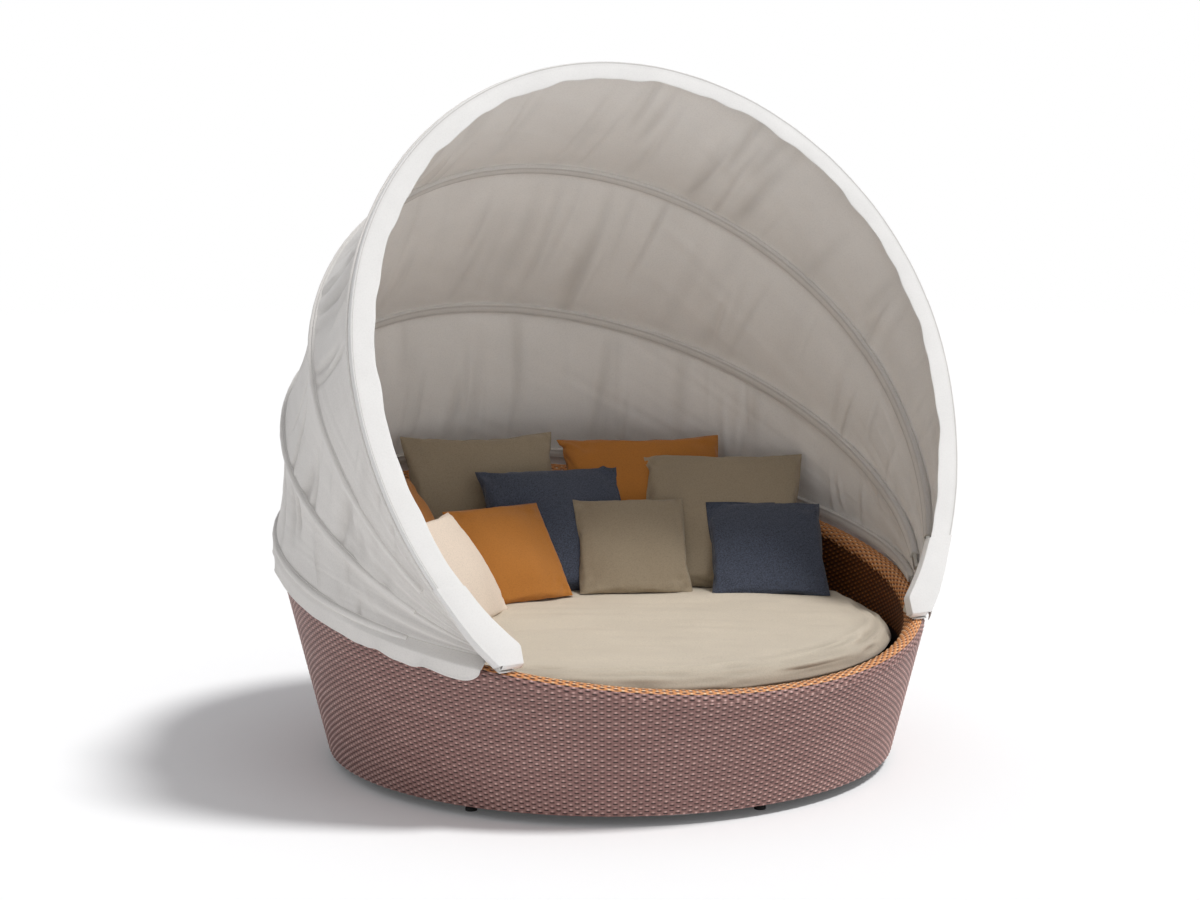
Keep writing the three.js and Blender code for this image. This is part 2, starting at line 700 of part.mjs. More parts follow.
// Cloth between two neighbouring hoops: pulled straight, sagging a little inwards and rippled
function panelBody(index) {
  const [inner, outer] = [[], []];
  for (let station = -1; station <= hoopSteps + 1; station += 1) {
    const [rowIn, rowOut] = [[], []];
    const ends = [tubeRadius + joinGap, tubeRadius + joinGap + clothThickness].map((level) => (
      [mitrePoint(index, station, level), mitrePoint(index + 1, station, level)]));
    const span = ends[0][1].clone().sub(ends[0][0]);
    const normal = ends[1][0].clone().sub(ends[0][0]).add(ends[1][1]).sub(ends[0][1]).normalize();
    for (let j = 0; j <= panelRows; j += 1) {
      const share = j / panelRows;
      const seam = (seamGap / 2) * (1 - 2 * share) / span.length();
      const wave = Math.sin(2 * Math.PI * (rippleCount * station / hoopSteps + share));
      const dip = 4 * share * (1 - share) * (rippleShare * wave - sagShare) * span.length();
      rowIn.push(ends[0][0].clone().lerp(ends[0][1], share + seam).addScaledVector(normal, dip));
      rowOut.push(ends[1][0].clone().lerp(ends[1][1], share + seam).addScaledVector(normal, dip));
    }
    inner.push(rowIn);
    outer.push(rowOut);
  }
  return sheetBody(inner, outer);
}

// Skirt: from the rear hoop over the rim's shoulder and down outside the weave, with a scalloped hem
function skirtBody() {
  const [inner, outer] = [[], []];
  for (let i = -1; i <= skirtSteps + 1; i += 1) {
    const station = Math.min(hoopSteps + 1, i * hoopSteps / skirtSteps);
    const wave = Math.cos(2 * Math.PI * skirtFolds * i / skirtSteps);
    const [rowIn, rowOut] = [[], []];
    const shoulder = shoulderPoint(station).add(pinPoint);
    const angle = Math.atan2(shoulder.x, -shoulder.y);
    const tail = Math.min(1, (Math.abs(angle) - pinAngle) / skirtTail);
    const drop = skirtTailDrop + (skirtDrop - skirtTailDrop) * Math.sqrt(1 - (1 - tail) ** 2);
    const hemLevel = Math.min(rimHeight(angle), shoulder.z) - drop + skirtScallop * wave * tail;
    const hem = wallPoint(angle, -skirtClear - skirtFold * (1 + wave), hemLevel);
    const outward = new THREE.Vector3(Math.sin(angle), -Math.cos(angle), 0);
    [rowIn, rowOut].forEach((row, layer) => {
      const level = tubeRadius + joinGap + layer * clothThickness;
      const top = mitrePoint(coverOrder.length - 1, station, level).add(pinPoint);
      const led = shoulder.clone().addScaledVector(outward, layer * clothThickness);
      const low = hem.clone().addScaledVector(outward, layer * clothThickness);
      const seam = (seamGap / 2) / led.distanceTo(top);
      row.push(top.clone().lerp(led, seam), led, led.clone().lerp(low, 1 / 2), low);
    });
    inner.push(rowIn);
    outer.push(rowOut);
  }
  return sheetBody(inner, outer);
}

const bandFace = bandAhead + bandThickness;

// Band: a facing in front of the front hoop, with a lip turned back over the start of the cloth
function frontBand() {
  const inside = bandOut - bandWidth;
  const lipInside = bandOut - bandLip;
  const section = [[bandOut, bandFace], [bandOut, bandStop], [lipInside, bandStop], [lipInside, bandAhead],
    [inside, bandAhead], [inside, bandFace]];
  const outlines = Array.from({ length: hoopSteps + 3 }, (_, i) => {
    const turn = stationTurn(hoops.front, i - 1, bandReach);
    return section.map(([out, ahead]) => hoopSpot(hoops.front, turn, out, ahead));
  });
  return skinned(outlines, false, section.map(([out, ahead]) => new THREE.Vector2(out, ahead)));
}

// Cuff: a channel over the band's end, widened inwards at its foot to hide the pin
function cuff(side) {
  const back = bandFace + joinGap;
  const face = back + cuffThickness;
  const section = [[cuffOut, face], [cuffOut, -cuffBack], [cuffOut - cuffThickness, -cuffBack],
    [cuffOut - cuffThickness, back], [cuffThickness - cuffIn, back], [cuffThickness - cuffIn, -cuffInnerBack],
    [-cuffIn, -cuffInnerBack], [-cuffIn, face]];
  const outlines = cuffLevels.map((along) => {
    const turn = stationTurn(hoops.front, -1, along);
    const centre = hoopSpot(hoops.front, turn, 0, 0);
    const steepness = hoopSpot(hoops.front, turn, 1, 0).x - centre.x;
    return section.map(([out, ahead]) => {
      const boxed = out < 0 && along < bandReach;
      const x = boxed ? pinSpan - cuffInset + cuffIn + out : centre.x + out / steepness;
      return new THREE.Vector3(side * x, along, ahead);
    });
  });
  return skinned(outlines, false, section.map(([out, ahead]) => new THREE.Vector2(out, ahead)));
}

// Pin hardware, modelled for the right side

// Bracket on the rim: a boss through the weave, a flange, and two ears either side of the three lugs
function bracket() {
  const rise = pinRise - joinGap;
  const flange = new THREE.BoxGeometry(2 * earOuter, flangeDepth, flangeThickness);
  flange.translate(0, 0, joinGap + flangeThickness / 2);
  const bossLength = capRadius - railLift - railRadius - joinGap + flangeThickness / 2;
  const boss = new THREE.CylinderGeometry(bossRadius, bossRadius, bossLength, 16).rotateX(Math.PI / 2);
  boss.translate(0, 0, joinGap + flangeThickness / 2 - bossLength / 2);
  const ears = [-1, 1].map((side) => {
    const outline = new THREE.Shape();
    outline.moveTo(-earRadius, 0);
    outline.lineTo(earRadius, 0);
    outline.lineTo(earRadius, rise);
    outline.absarc(0, rise, earRadius, 0, Math.PI, false);
    const plate = new THREE.ExtrudeGeometry(outline, { depth: earThickness, bevelEnabled: false, curveSegments: 8 });
    plate.rotateX(Math.PI / 2).rotateZ(Math.PI / 2);
    return plate.translate(side * earSpot - earThickness / 2, 0, joinGap);
  });
  const bore = alongX(boreRadius, 4 * earOuter, 16).translate(0, 0, pinRise);
  const body = combine([flange, boss, ...ears], [bore]);
  return body.rotateX(rimTilt);
}

function pin() {
  const inner = earOuter + joinGap + lugThickness + joinGap + headThickness;
  const outer = earOuter + joinGap + headThickness / 2;
  const shank = alongX(pinRadius, inner + outer, 16).translate((outer - inner) / 2, 0, 0);
  return combine([shank, alongX(headRadius, headThickness, 6).translate(outer, 0, 0)], []);
}

function pinNut() {
  const place = earOuter + joinGap + lugThickness + joinGap + headThickness / 2;
  const nut = alongX(headRadius, headThickness, 6).translate(-place, 0, 0);
  return combine([nut], [alongX(pinRadius + joinGap / 3, 4 * place, 16)]);
}

function spacer(place) {
  const length = lugPitch - lugThickness - 2 * joinGap;
  const ring = alongX(spacerRadius, length, 16);
  const body = combine([ring], [alongX(boreRadius, 2 * length, 16)]);
  return body.translate(place * lugPitch / 2, 0, 0);
}

// Assembly

const daybed = new THREE.Group();

function place(parent, name, geometry, material) {
  const mesh = new THREE.Mesh(geometry, material);
  mesh.name = name;
  parent.add(mesh);
  return mesh;
}

place(daybed, 'wicker_outer', outerWeave(), finishes.wicker);
place(daybed, 'wicker_rim', wrappedRim(), finishes.rim);
place(daybed, 'wicker_inner', innerWeave(), finishes.lining);
place(daybed, 'base_bar', baseBar(), finishes.frame);
place(daybed, 'rim_rail', rimRail(railRadius), finishes.frame);
for (let i = 0; i < uprightCount; i += 1) {
  place(daybed, `upright_${i + 1}`, upright((i + 1 / 2) * 2 * Math.PI / uprightCount), finishes.frame);
}
place(daybed, 'deck_frame', deckFrame(), finishes.frame);
place(daybed, 'centre_leg', centreLeg(), finishes.frame);
place(daybed, 'seat_deck', seatDeck(), finishes.deck);
for (let i = 0; i < footCount; i += 1) {
  const angle = i * 2 * Math.PI / footCount;
  const mesh = place(daybed, `foot_${i + 1}`, foot(), finishes.foot);
  mesh.position.set(footCircle * Math.sin(angle), -footCircle * Math.cos(angle), 0);
}
place(daybed, 'mattress', mattressBody(0), finishes.mattress);
for (const { pillow, geometry } of pillowBodies()) {
  place(daybed, pillow.name, geometry, finishes[pillow.tone]);
}

const canopy = new THREE.Group();
canopy.position.copy(pinPoint);
daybed.add(canopy);
for (const [name, hoop] of Object.entries(hoops)) {
  const plane = new THREE.Group();
  plane.rotation.x = hoop.tilt;
  canopy.add(plane);
  place(plane, `hoop_${name}`, hoopBody(hoop, tubeRadius), finishes.hoop);
  if (name === 'front') {
    place(plane, 'front_band', frontBand(), finishes.piping);
    place(plane, 'cuff_left', cuff(-1), finishes.piping);
    place(plane, 'cuff_right', cuff(1), finishes.piping);
  }
}
['panel_front', 'panel_middle', 'panel_back'].forEach((name, index) => {
  place(canopy, name, panelBody(index), finishes.canvas);
});
place(daybed, 'skirt', skirtBody(), finishes.canvas);
rimClips().forEach((geometry, i) => place(daybed, `rim_clip_${i + 1}`, geometry, finishes.steel));

const hardware = { bracket: bracket(), pin: pin(), pin_nut: pinNut(), spacer_inner: spacer(-1), spacer_outer: spacer(1) };
for (const [name, geometry] of Object.entries(hardware)) {
  for (const [suffix, side] of [['right', 1], ['left', -1]]) {
    const [material, base] = name === 'bracket' ? [finishes.frame, pinBase] : [finishes.steel, pinPoint];
    const mesh = place(daybed, `${name}_${suffix}`, side > 0 ? geometry : mirroredX(geometry), material);
    mesh.position.set(side * pinSpan, base.y, base.z);
  }
}

export default daybed;
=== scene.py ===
"""Round outdoor daybed: woven basket, round mattress, nine loose pillows and a folding canopy."""

import json
from types import SimpleNamespace

import bmesh
import bpy
import numpy as np
from mathutils import Matrix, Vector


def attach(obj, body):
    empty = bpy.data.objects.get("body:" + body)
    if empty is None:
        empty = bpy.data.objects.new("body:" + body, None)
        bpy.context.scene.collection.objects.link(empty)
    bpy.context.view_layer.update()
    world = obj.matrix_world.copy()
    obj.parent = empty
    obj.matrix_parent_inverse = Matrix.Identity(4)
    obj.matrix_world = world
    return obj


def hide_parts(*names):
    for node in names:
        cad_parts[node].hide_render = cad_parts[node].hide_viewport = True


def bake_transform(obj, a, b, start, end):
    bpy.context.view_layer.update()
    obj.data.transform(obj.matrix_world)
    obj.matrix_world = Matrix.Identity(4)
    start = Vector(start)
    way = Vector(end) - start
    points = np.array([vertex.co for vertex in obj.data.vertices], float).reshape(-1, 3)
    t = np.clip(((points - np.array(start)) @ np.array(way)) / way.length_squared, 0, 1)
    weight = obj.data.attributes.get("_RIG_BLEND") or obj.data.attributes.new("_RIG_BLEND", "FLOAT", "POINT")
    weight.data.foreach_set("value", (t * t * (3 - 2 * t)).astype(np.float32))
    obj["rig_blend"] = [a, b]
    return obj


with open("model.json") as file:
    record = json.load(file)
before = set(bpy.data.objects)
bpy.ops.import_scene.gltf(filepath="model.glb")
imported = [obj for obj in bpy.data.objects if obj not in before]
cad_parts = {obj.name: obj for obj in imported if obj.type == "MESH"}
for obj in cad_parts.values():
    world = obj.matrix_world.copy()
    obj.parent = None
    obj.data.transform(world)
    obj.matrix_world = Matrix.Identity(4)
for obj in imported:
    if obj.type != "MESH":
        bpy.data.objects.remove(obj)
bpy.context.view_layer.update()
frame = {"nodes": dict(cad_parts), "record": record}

bl_info = {
    "name": "Round Canopy Daybed",
    "version": (1, 0, 0),
    "blender": (4, 5, 0),
    "location": "View3D > Sidebar > Daybed",
    "description": "Dresses the packed daybed frame with weave, cushions and canopy cloth",
    "category": "Add Mesh",
}

MM = 0.001
TURN = 2 * np.pi

# Basket, in millimetres: the same measures as the solids
BASE_RADIUS = 772
FLARE = 0.2435
FLOOR_GAP = 26
RIM_FRONT, RIM_BACK = 335, 690
WALL = 52
CAP = WALL / 2
FOOT_LIP = 32
DECK_EDGE = 182.8
LINING_FOOT = 318

# Backing behind the strands: its two faces lie this far in from the wall's own
CORE_NEAR, CORE_FAR = 2.6, 5
CORE_LIP = 4

# Weave: stakes round the basket, height of a row, points to a stake, and their places in a row:
# just above the gap below, at the crest, and just below the gap above
STAKES = 320
ROW_PITCH = 6.9
SAMPLES = 3
ROW_PLACES = (0.1, 0.5, 0.9)
# How far the rows of the wall run up behind the rim's, the rows over the rim, how many of them have
# the outer colour, and the arc that they cover, which starts a little below half height
TUCK = 4
RIM_ROWS = 14
FACING_ROWS = 4
RIM_ARC, RIM_OVERRUN = np.radians(200), np.radians(10)

# Hoops: half width, how far along the widest line lies, and reach, as shares of the base radius;
# then degrees up from the rim plane
HOOP_SHARES = {
    "front": (1.1528, 0.8821, 1.978, 58.23),
    "middle": (1.1516, 0.8782, 1.9845, 39.03),
    "back": (1.1399, 0.8459, 2.0311, 17.93),
    "rear": (1.149, 0.7733, 1.9521, 1.03),
}
# Where the pins are round the basket and over the rim, how far along a hoop its strap reaches, the
# tube's radius, how far the rear hoop hangs below its plane, and each strap's place along the pin
PIN_ANGLE = np.radians(49)
PIN_RISE = 30
STRAP_REACH = 150
TUBE = 9
REAR_DROP = 14
LUG_OFFSETS = {"front": 13, "middle": 0, "back": -13, "rear": -23.6}

# Canopy cloth: stations run along it from one end to the other, and one more lies beyond each end
# of the tubes. Its length and width in metres are those of its surface coordinates
STATIONS = 40
ALL_STEPS = STATIONS + 2
CLOTH_LENGTH = 3.9
CLOTH_WIDTH = 0.55
CLOTH_THICKNESS = 0.0014
# How near the pins its ends come, how high it lies over the tubes' centre lines, and its sag as a
# share of the span; folds are full from that span on, and fade over that share of the width
CLOTH_REACH = 40
CLOTH_LEVEL = 8.5
SAG_SHARE = 0.042
FULL_SPAN = 260
HEM_SHARE = 0.09
FOLDS = 84
FOLD_SEED = 11
# Each fold's place along the cloth, middle across it, half length, width, depth and lean, as shares
FOLD_RANGES = {"place": (0.06, 0.94), "middle": (0.15, 0.85), "half": (0.25, 0.6),
               "width": (0.0017, 0.0068), "depth": (-1, 0.55), "lean": (-0.012, 0.012)}
# Gathers at the pins: depth in millimetres, reach in metres from the end, waves across, slant, and
# the span in millimetres below which they shrink; then the cloth's half length in metres
GATHER_DEPTH, GATHER_REACH, GATHER_WAVES, GATHER_SLANT, GATHER_SPAN = 7, 0.17, 2.2, 9, 120
HALF_LENGTH = 2.1

# Pockets: how far along the hoop they start, and the angle between folded hoops, which half of
# each pocket has to stay within
POCKET_FOOT = 205
POCKET_EASE = 0.6
NEAREST = np.radians(6)

# Front band: how near the pins its ends come, and the waves of its hem, each with its height, rate
# along the hoop and start; then its cord, out from the tube's centre and ahead of it
BAND_REACH = 60
HEM_WAVES = ((2.6, 2.1, 0.6), (1.9, 3.7, 1.9), (1.2, 6.1, 0))
CORD_RADIUS = 5.2
CORD_OUT, CORD_AHEAD = 15.8, -5.4
# Cuffs: where along the hoop's plane their sections lie, where they begin to draw in, and over how
# far; how far inside the pin's bracket they start, their section's depth, and their rounded edges
CUFF_LEVELS = (-20, 25, 60, 95, 140, 180)
SLIM_FROM, SLIM_OVER = 25, 110
CUFF_INSET = 38
CUFF_DEPTH = 56
CUFF_ROUND = 3.2
# A cuff's turned-in foot: radii and angles of its arc, and its two ends, from the cuff's inner edge
# and from the tube's centre
LIP_OUTER, LIP_INNER = 28, 26
LIP_FROM, LIP_TO = 47, 5
LIP_NEAR, LIP_FAR = 0.5, 22

# Skirt: how far its shoulder and its hem stand off the weave, how deep the hem hangs, how far it is
# lifted at its ends, over which angle, how deep its scallops and flutes are, how far it swells, and
# how thick its hem is rolled, where and how wide, as shares down each half
SKIRT_OFF, HEM_OFF = 11, 13
HEM_DEPTH, HEM_LIFT = 44, 6
HEM_TAIL = np.radians(4.6)
SCALLOP, FLUTE = 4.2, 3
SWELL = 1.6
ROLL, ROLL_PLACE, ROLL_WIDTH = 1.2, 1.93, 0.04

# Mattress
MATTRESS_TOP, MATTRESS_EDGE = 384, 352
DECK_TOP = 206.8
RESTING_GAP = 0.5
MATTRESS_CLEAR = 16
SHOULDER = 76
SHOULDER_DROP = 46
DRAWN_IN = 16
WAIST = 34
FOOT_ROUND = 30
# Its cover: heights where the top and the side's creases begin, and over how far they grow; where
# the creases are deepest, in from the edge, and how wide; how far in the edge is shaded; and the
# length along the section that one noise field covers
TOP_FROM, TOP_EASE = 350, 26
SIDE_FROM, SIDE_EASE = 250, 50
CREASE_IN, CREASE_WIDTH = 20, 70
SHADE_IN = 130
CREASE_RUN = 1300

# Pillows, in millimetres and degrees: x, y, size, thickness, turn, lean, cloth
PILLOWS = {
    "pillow_taupe_back": (-65, 556, 478, 110, -13, 25, "taupe_cloth"),
    "pillow_orange_back": (346, 290, 514, 110, -20, 36, "orange_cloth"),
    "pillow_orange_left": (-392, 238, 398, 100, 41, 29, "orange_cloth"),
    "pillow_blue_back": (60, 290, 444, 105, -12, 41, "blue_cloth"),
    "pillow_taupe_right": (450, 112, 492, 105, -34, 41, "taupe_cloth"),
    "pillow_orange_front": (-136, 222, 324, 90, 5, 37, "orange_cloth"),
    "pillow_taupe_front": (198, 176, 332, 90, -24, 40, "taupe_cloth"),
    "pillow_blue_front": (525, -32, 343, 90, -29, 46, "blue_cloth"),
    "pillow_beige_left": (-353, 58, 325, 105, 41, 33, "beige_cloth"),
}
# Cells along a side, and how closely the points stand at the edge; how deep the lower edge sinks
# in; how much fuller the cut is between the corners; the share of its thickness that a pillow
# starts with; how far stuffing draws its sides in; and the room between two pillows, kept for
# points down to so far behind the middle of the one that was there first
PILLOW_CELLS, PILLOW_SPREAD = 56, 0.43
PILLOW_SINK = 14
PILLOW_EASE = 0.02
PILLOW_START = 0.68
PILLOW_PULL = 0.045
PILLOW_SKIN, PILLOW_BEHIND = 1.5, -70
STUFFING_STEPS = 20
STUFFING = {"quality": 6, "mass": 0.3, "use_pressure": True, "tension_stiffness": 60,
            "compression_stiffness": 60, "shear_stiffness": 25, "bending_stiffness": 0.8}
# Depth in millimetres and reach as a share of the size: gathers at the seam, creases at the corners
# and dents in the front; and the share over which all of them fade towards the seam
GATHERS, CORNERS, DENTS = (2.6, 0.07), (5, 0.22), (5, 0.2)
SEAM_FADE = 0.03

# Noise fields: cells one way, cells the other way, seed
NOISE = {
    "tone": (71, 110, 5),
    "ripple": (26, 5, 31), "cross ripple": (61, 7, 41),
    "pocket": (150, 5, 3), "cord": (170, 3, 61), "band": (90, 3, 77),
    "flute": (17, 2, 8), "hem": (23, 2, 21), "swell": (60, 3, 19),
    "hollow": (11, 31, 4), "small hollow": (19, 67, 6),
    "crease": (23, 62, 9), "small crease": (57, 90, 12),
    "gather across": (34, 7, 70), "gather up": (7, 34, 90),
    "corner": (9, 15, 50), "dent": (7, 7, 30),
}

# Points of each surface: along the hoops, from the hoop down or across, and round the daybed
ALONG = {"panel": 620, "pocket": 560, "cord": 620, "band": 760, "skirt": 1000}
DOWN = {"panel": 44, "skirt": 26}
ROUND = {"core": 240, "mattress": 420, "floor": 96}

# Camera, in degrees, metres and millimetres of lens
AZIMUTH, ELEVATION, DISTANCE = -31.04, 6.54, 5.592
AIM_HEIGHT, AIM_RIGHT = 0.826, -0.0279
LENS = 61.31
# Lamps: strength, spread, tip from straight down and heading, in degrees
SUNS = {"Sun": (2.15, 11, 25.5, 47), "Fill": (0.32, 60, 84, 6)}
SKY_STRENGTH = 0.37
# Floor: its radius in millimetres, and from where to where in metres it fades to white
FLOOR_RADIUS = 26000
FLOOR_FADE = (1.35, 2.4)


def linear(code):
    """An sRGB hex colour as linear red, green and blue."""
    srgb = np.array([int(code[i:i + 2], 16) for i in (0, 2, 4)]) / 255
    return tuple(np.where(srgb <= 0.04045, srgb / 12.92, ((srgb + 0.055) / 1.055) ** 2.4))


# Noise and meshes

def soft_noise(u, v, field, variant=0):
    """Smooth value noise from -1 to 1: random heights on a lattice that closes on itself, eased
    between its knots. The field is a key of NOISE, and a variant moves its seed on."""
    cells_u, cells_v, seed = NOISE[field]
    lattice = np.random.RandomState(seed + variant).uniform(-1, 1, (cells_u, cells_v))
    a, b = np.mod(u, 1) * cells_u, np.mod(v, 1) * cells_v
    i, j = np.floor(a).astype(int) % cells_u, np.floor(b).astype(int) % cells_v
    s, t = a - np.floor(a), b - np.floor(b)
    s, t = s * s * (3 - 2 * s), t * t * (3 - 2 * t)
    k, m = (i + 1) % cells_u, (j + 1) % cells_v
    low = lattice[i, j] * (1 - s) + lattice[k, j] * s
    high = lattice[i, m] * (1 - s) + lattice[k, m] * s
    return low * (1 - t) + high * t


def pairs(across, up):
    """Two coordinates of a grid, one beside the other."""
    return np.stack(np.broadcast_arrays(across, up), -1)


def unit(vectors):
    """The same directions, one long."""
    return vectors / np.linalg.norm(vectors, axis=-1, keepdims=True)


def angles_round(kind):
    """Angles all round the daybed, one for each column of points. The kind is a key of ROUND."""
    return (np.arange(ROUND[kind]) / ROUND[kind] * TURN)[:, None]


def surface(name, points, wrap_u=False, wrap_v=False, keep=None, uv=None, lap=None, layers=None,
            flip=False):
    """A mesh over a grid of points in millimetres, rows first; it can close on itself either way.
    The lap is how far the surface coordinates go in one turn round a closed grid."""
    rows, columns = points.shape[:2]
    index = np.arange(rows * columns).reshape(rows, columns)
    if wrap_u:
        index = np.vstack([index, index[:1]])
    if wrap_v:
        index = np.hstack([index, index[:, :1]])
    faces = np.stack([index[:-1, :-1], index[1:, :-1], index[1:, 1:], index[:-1, 1:]], -1)
    faces = faces[keep] if keep is not None else faces.reshape(-1, 4)
    if flip:
        faces = faces[:, ::-1]
    return from_faces(name, points.reshape(-1, 3), faces, uv, lap, layers)


def from_faces(name, points, faces, uv=None, lap=None, layers=None):
    """A mesh from points in millimetres and four-cornered faces; points that no face uses are
    dropped."""
    used, corners = np.unique(faces, return_inverse=True)
    corners = corners.reshape(-1)
    mesh = bpy.data.meshes.new(name)
    mesh.vertices.add(len(used))
    mesh.vertices.foreach_set("co", (points[used] * MM).astype(np.float32).ravel())
    mesh.loops.add(len(corners))
    mesh.loops.foreach_set("vertex_index", corners.astype(np.int32))
    mesh.polygons.add(len(faces))
    mesh.polygons.foreach_set("loop_start", np.arange(0, 4 * len(faces), 4, dtype=np.int32))
    if uv is not None:
        laid = uv.reshape(-1, 2)[used][corners].reshape(-1, 4, 2)
        if lap is not None:
            behind = laid < laid.max(1, keepdims=True) - np.array(lap) / 2
            laid = laid + np.array(lap) * behind
        chart = mesh.uv_layers.new(name="Surface")
        chart.data.foreach_set("uv", laid.astype(np.float32).ravel())
    for key, values in (layers or {}).items():
        attribute = mesh.attributes.new(key, "FLOAT", "POINT")
        attribute.data.foreach_set("value", values.reshape(-1)[used].astype(np.float32))
    mesh.update(calc_edges=True)
    mesh.polygons.foreach_set("use_smooth", np.ones(len(faces), bool))
    piece = bpy.data.objects.new(name, mesh)
    bpy.context.scene.collection.objects.link(piece)
    return piece


def close_rings(piece, rings):
    """Closes each open ring of points with one many-sided face, and turns all faces outwards."""
    shape = bmesh.new()
    shape.from_mesh(piece.data)
    shape.verts.ensure_lookup_table()
    for ring in rings:
        shape.faces.new([shape.verts[i] for i in ring])
    bmesh.ops.recalc_face_normals(shape, faces=shape.faces)
    shape.to_mesh(piece.data)
    shape.free()
    return piece


def tube(name, points, **settings):
    """A surface whose rows are closed outlines, with a face over both of its ends."""
    piece = surface(name, points, wrap_v=True, **settings)
    around, total = points.shape[1], len(piece.data.vertices)
    return close_rings(piece, [range(around), range(total - around, total)[::-1]])


def thicken(piece):
    """Gives a sheet of cloth its thickness, half of it to each side."""
    solid = piece.modifiers.new("Cloth thickness", "SOLIDIFY")
    solid.thickness = CLOTH_THICKNESS
    solid.offset = 0


def finish(piece, material, body=None, stands_for=()):
    """Gives a piece its material, its body and the solids that it stands for."""
    piece.data.materials.clear()
    piece.data.materials.append(material)
    if body:
        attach(piece, body)
    if stands_for:
        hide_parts(*stands_for)
    return piece


# Basket

def wall_radius(height):
    """Radius of the basket's outer face: a cone that flares evenly from its foot."""
    return BASE_RADIUS + FLARE * (height - FLOOR_GAP)


RIM_SLOPE = (RIM_BACK - RIM_FRONT) / (wall_radius(RIM_FRONT) + wall_radius(RIM_BACK))
RIM_TILT = np.arctan(RIM_SLOPE)


def rim_height(angle):
    """Height at which the cone meets the slanted rim plane, at an angle from the front to +X."""
    level = RIM_FRONT + RIM_SLOPE * wall_radius(RIM_FRONT)
    pull = RIM_SLOPE * np.cos(angle)
    return (level - pull * (BASE_RADIUS - FLARE * FLOOR_GAP)) / (1 + pull * FLARE)


def wall_point(angle, inset, height):
    """A point of the wall: in from the outer face by the inset, at a height."""
    radius = wall_radius(height) - inset
    return np.stack([radius * np.sin(angle), -radius * np.cos(angle), height + 0 * angle], -1)


def strand_relief(stake, row, settings):
    """Height of plain weave: each strand bows out over every second stake, and its section is a
    round ridge."""
    bow = np.cos(np.pi * (stake + np.floor(row)))
    ridge = 1 - (2 * np.mod(row, 1) - 1) ** 2
    return settings.strand_bow / MM * bow + settings.strand_ridge / MM * (ridge - 0.5)


def row_places(count):
    """The points' places in so many rows of strands, three to a row."""
    return (np.arange(count)[:, None] + np.array(ROW_PLACES)).ravel()


def weave_tone(stake, row):
    """Slow change of tone from strand to strand, as in twisted two-colour fibre."""
    return 0.5 + 0.5 * soft_noise(stake / STAKES, np.floor(row) / NOISE["tone"][1], "tone")


def wall_weave(settings, name, stake, foot, inset, facing, tone_row=0, wrap=False, **options):
    """Level rows of plain weave up one face of the wall, cut off under the rim. The relief stands
    out from that face, away from the basket where facing is 1 and into it where it is -1."""
    angle = stake / STAKES * TURN
    rows = row_places(int((RIM_BACK - foot) / ROW_PITCH))[None, :]
    height = foot + ROW_PITCH * rows
    relief = strand_relief(stake, rows, settings)
    points = wall_point(angle, inset - facing * relief, height + 0 * angle)
    under = height <= rim_height(angle) - CAP + TUCK
    if wrap:
        under = np.vstack([under, under[:1]])
    keep = under[:-1, :-1] & under[1:, :-1] & under[1:, 1:] & under[:-1, 1:]
    return surface(name, points, wrap_u=wrap, keep=keep, uv=pairs(stake, rows),
                   layers={"tone": weave_tone(stake, rows + tone_row)}, **options)


def outer_weave(settings, sector, sectors):
    """One of the equal sectors of the outer weave, from the foot to the rim."""
    columns = STAKES * SAMPLES
    first, last = columns * sector // sectors, columns * (sector + 1) // sectors
    stake = (np.arange(first, last + 1) / SAMPLES)[:, None]
    return wall_weave(settings, f"outer_weave_{sector + 1}", stake, FLOOR_GAP, 0, 1)


def stakes_round():
    """Places of the points all round the basket, counted in stakes."""
    return (np.arange(STAKES * SAMPLES) / SAMPLES)[:, None]


def inner_weave(settings):
    """Weave of the inner face, from below the mattress edge to the rim."""
    return wall_weave(settings, "inner_weave", stakes_round(), LINING_FOOT, WALL, -1, tone_row=9,
                      wrap=True, lap=(STAKES, 0), flip=True)


def rim_weave(settings, name, first, last):
    """Weave over the rounded top of the wall: a little over half a circle of rows along the rim."""
    stake = stakes_round()
    angle = stake / STAKES * TURN
    rows = row_places(RIM_ROWS)[None, SAMPLES * first:SAMPLES * last + 1]
    turn = (rows / RIM_ROWS) * RIM_ARC - RIM_OVERRUN
    radius = CAP + strand_relief(stake, rows, settings)
    points = wall_point(angle, CAP - radius * np.cos(turn),
                        rim_height(angle) - CAP + radius * np.sin(turn))
    return surface(name, points, wrap_u=True, uv=pairs(stake, rows), lap=(STAKES, 0),
                   layers={"tone": weave_tone(stake, rows + 40)})


def basket_core():
    """Thin backing behind the strands: the wall's closed section, a little inside the weave,
    carried round."""
    angle = angles_round("core")
    arc = np.linspace(0, np.pi, 9)
    level = rim_height(angle) - CAP
    outside, inside = CAP - CORE_NEAR, CAP - CORE_FAR
    insets = np.concatenate([[CORE_NEAR], CAP - outside * np.cos(arc),
                             [WALL - CORE_NEAR, WALL - CORE_FAR],
                             CAP - inside * np.cos(arc[::-1]),
                             [CORE_FAR, CORE_FAR + FOOT_LIP, CORE_FAR + FOOT_LIP]])
    over, under = level + outside * np.sin(arc), level + inside * np.sin(arc[::-1])
    low = np.full_like(angle, FLOOR_GAP)
    foot = np.full_like(angle, DECK_EDGE)
    heights = np.hstack([low, over, foot, foot, under, low + CORE_LIP, low + CORE_LIP, low])
    points = wall_point(angle, insets[None, :], heights)
    return surface("basket_core", points, wrap_u=True, wrap_v=True)


# Hoops

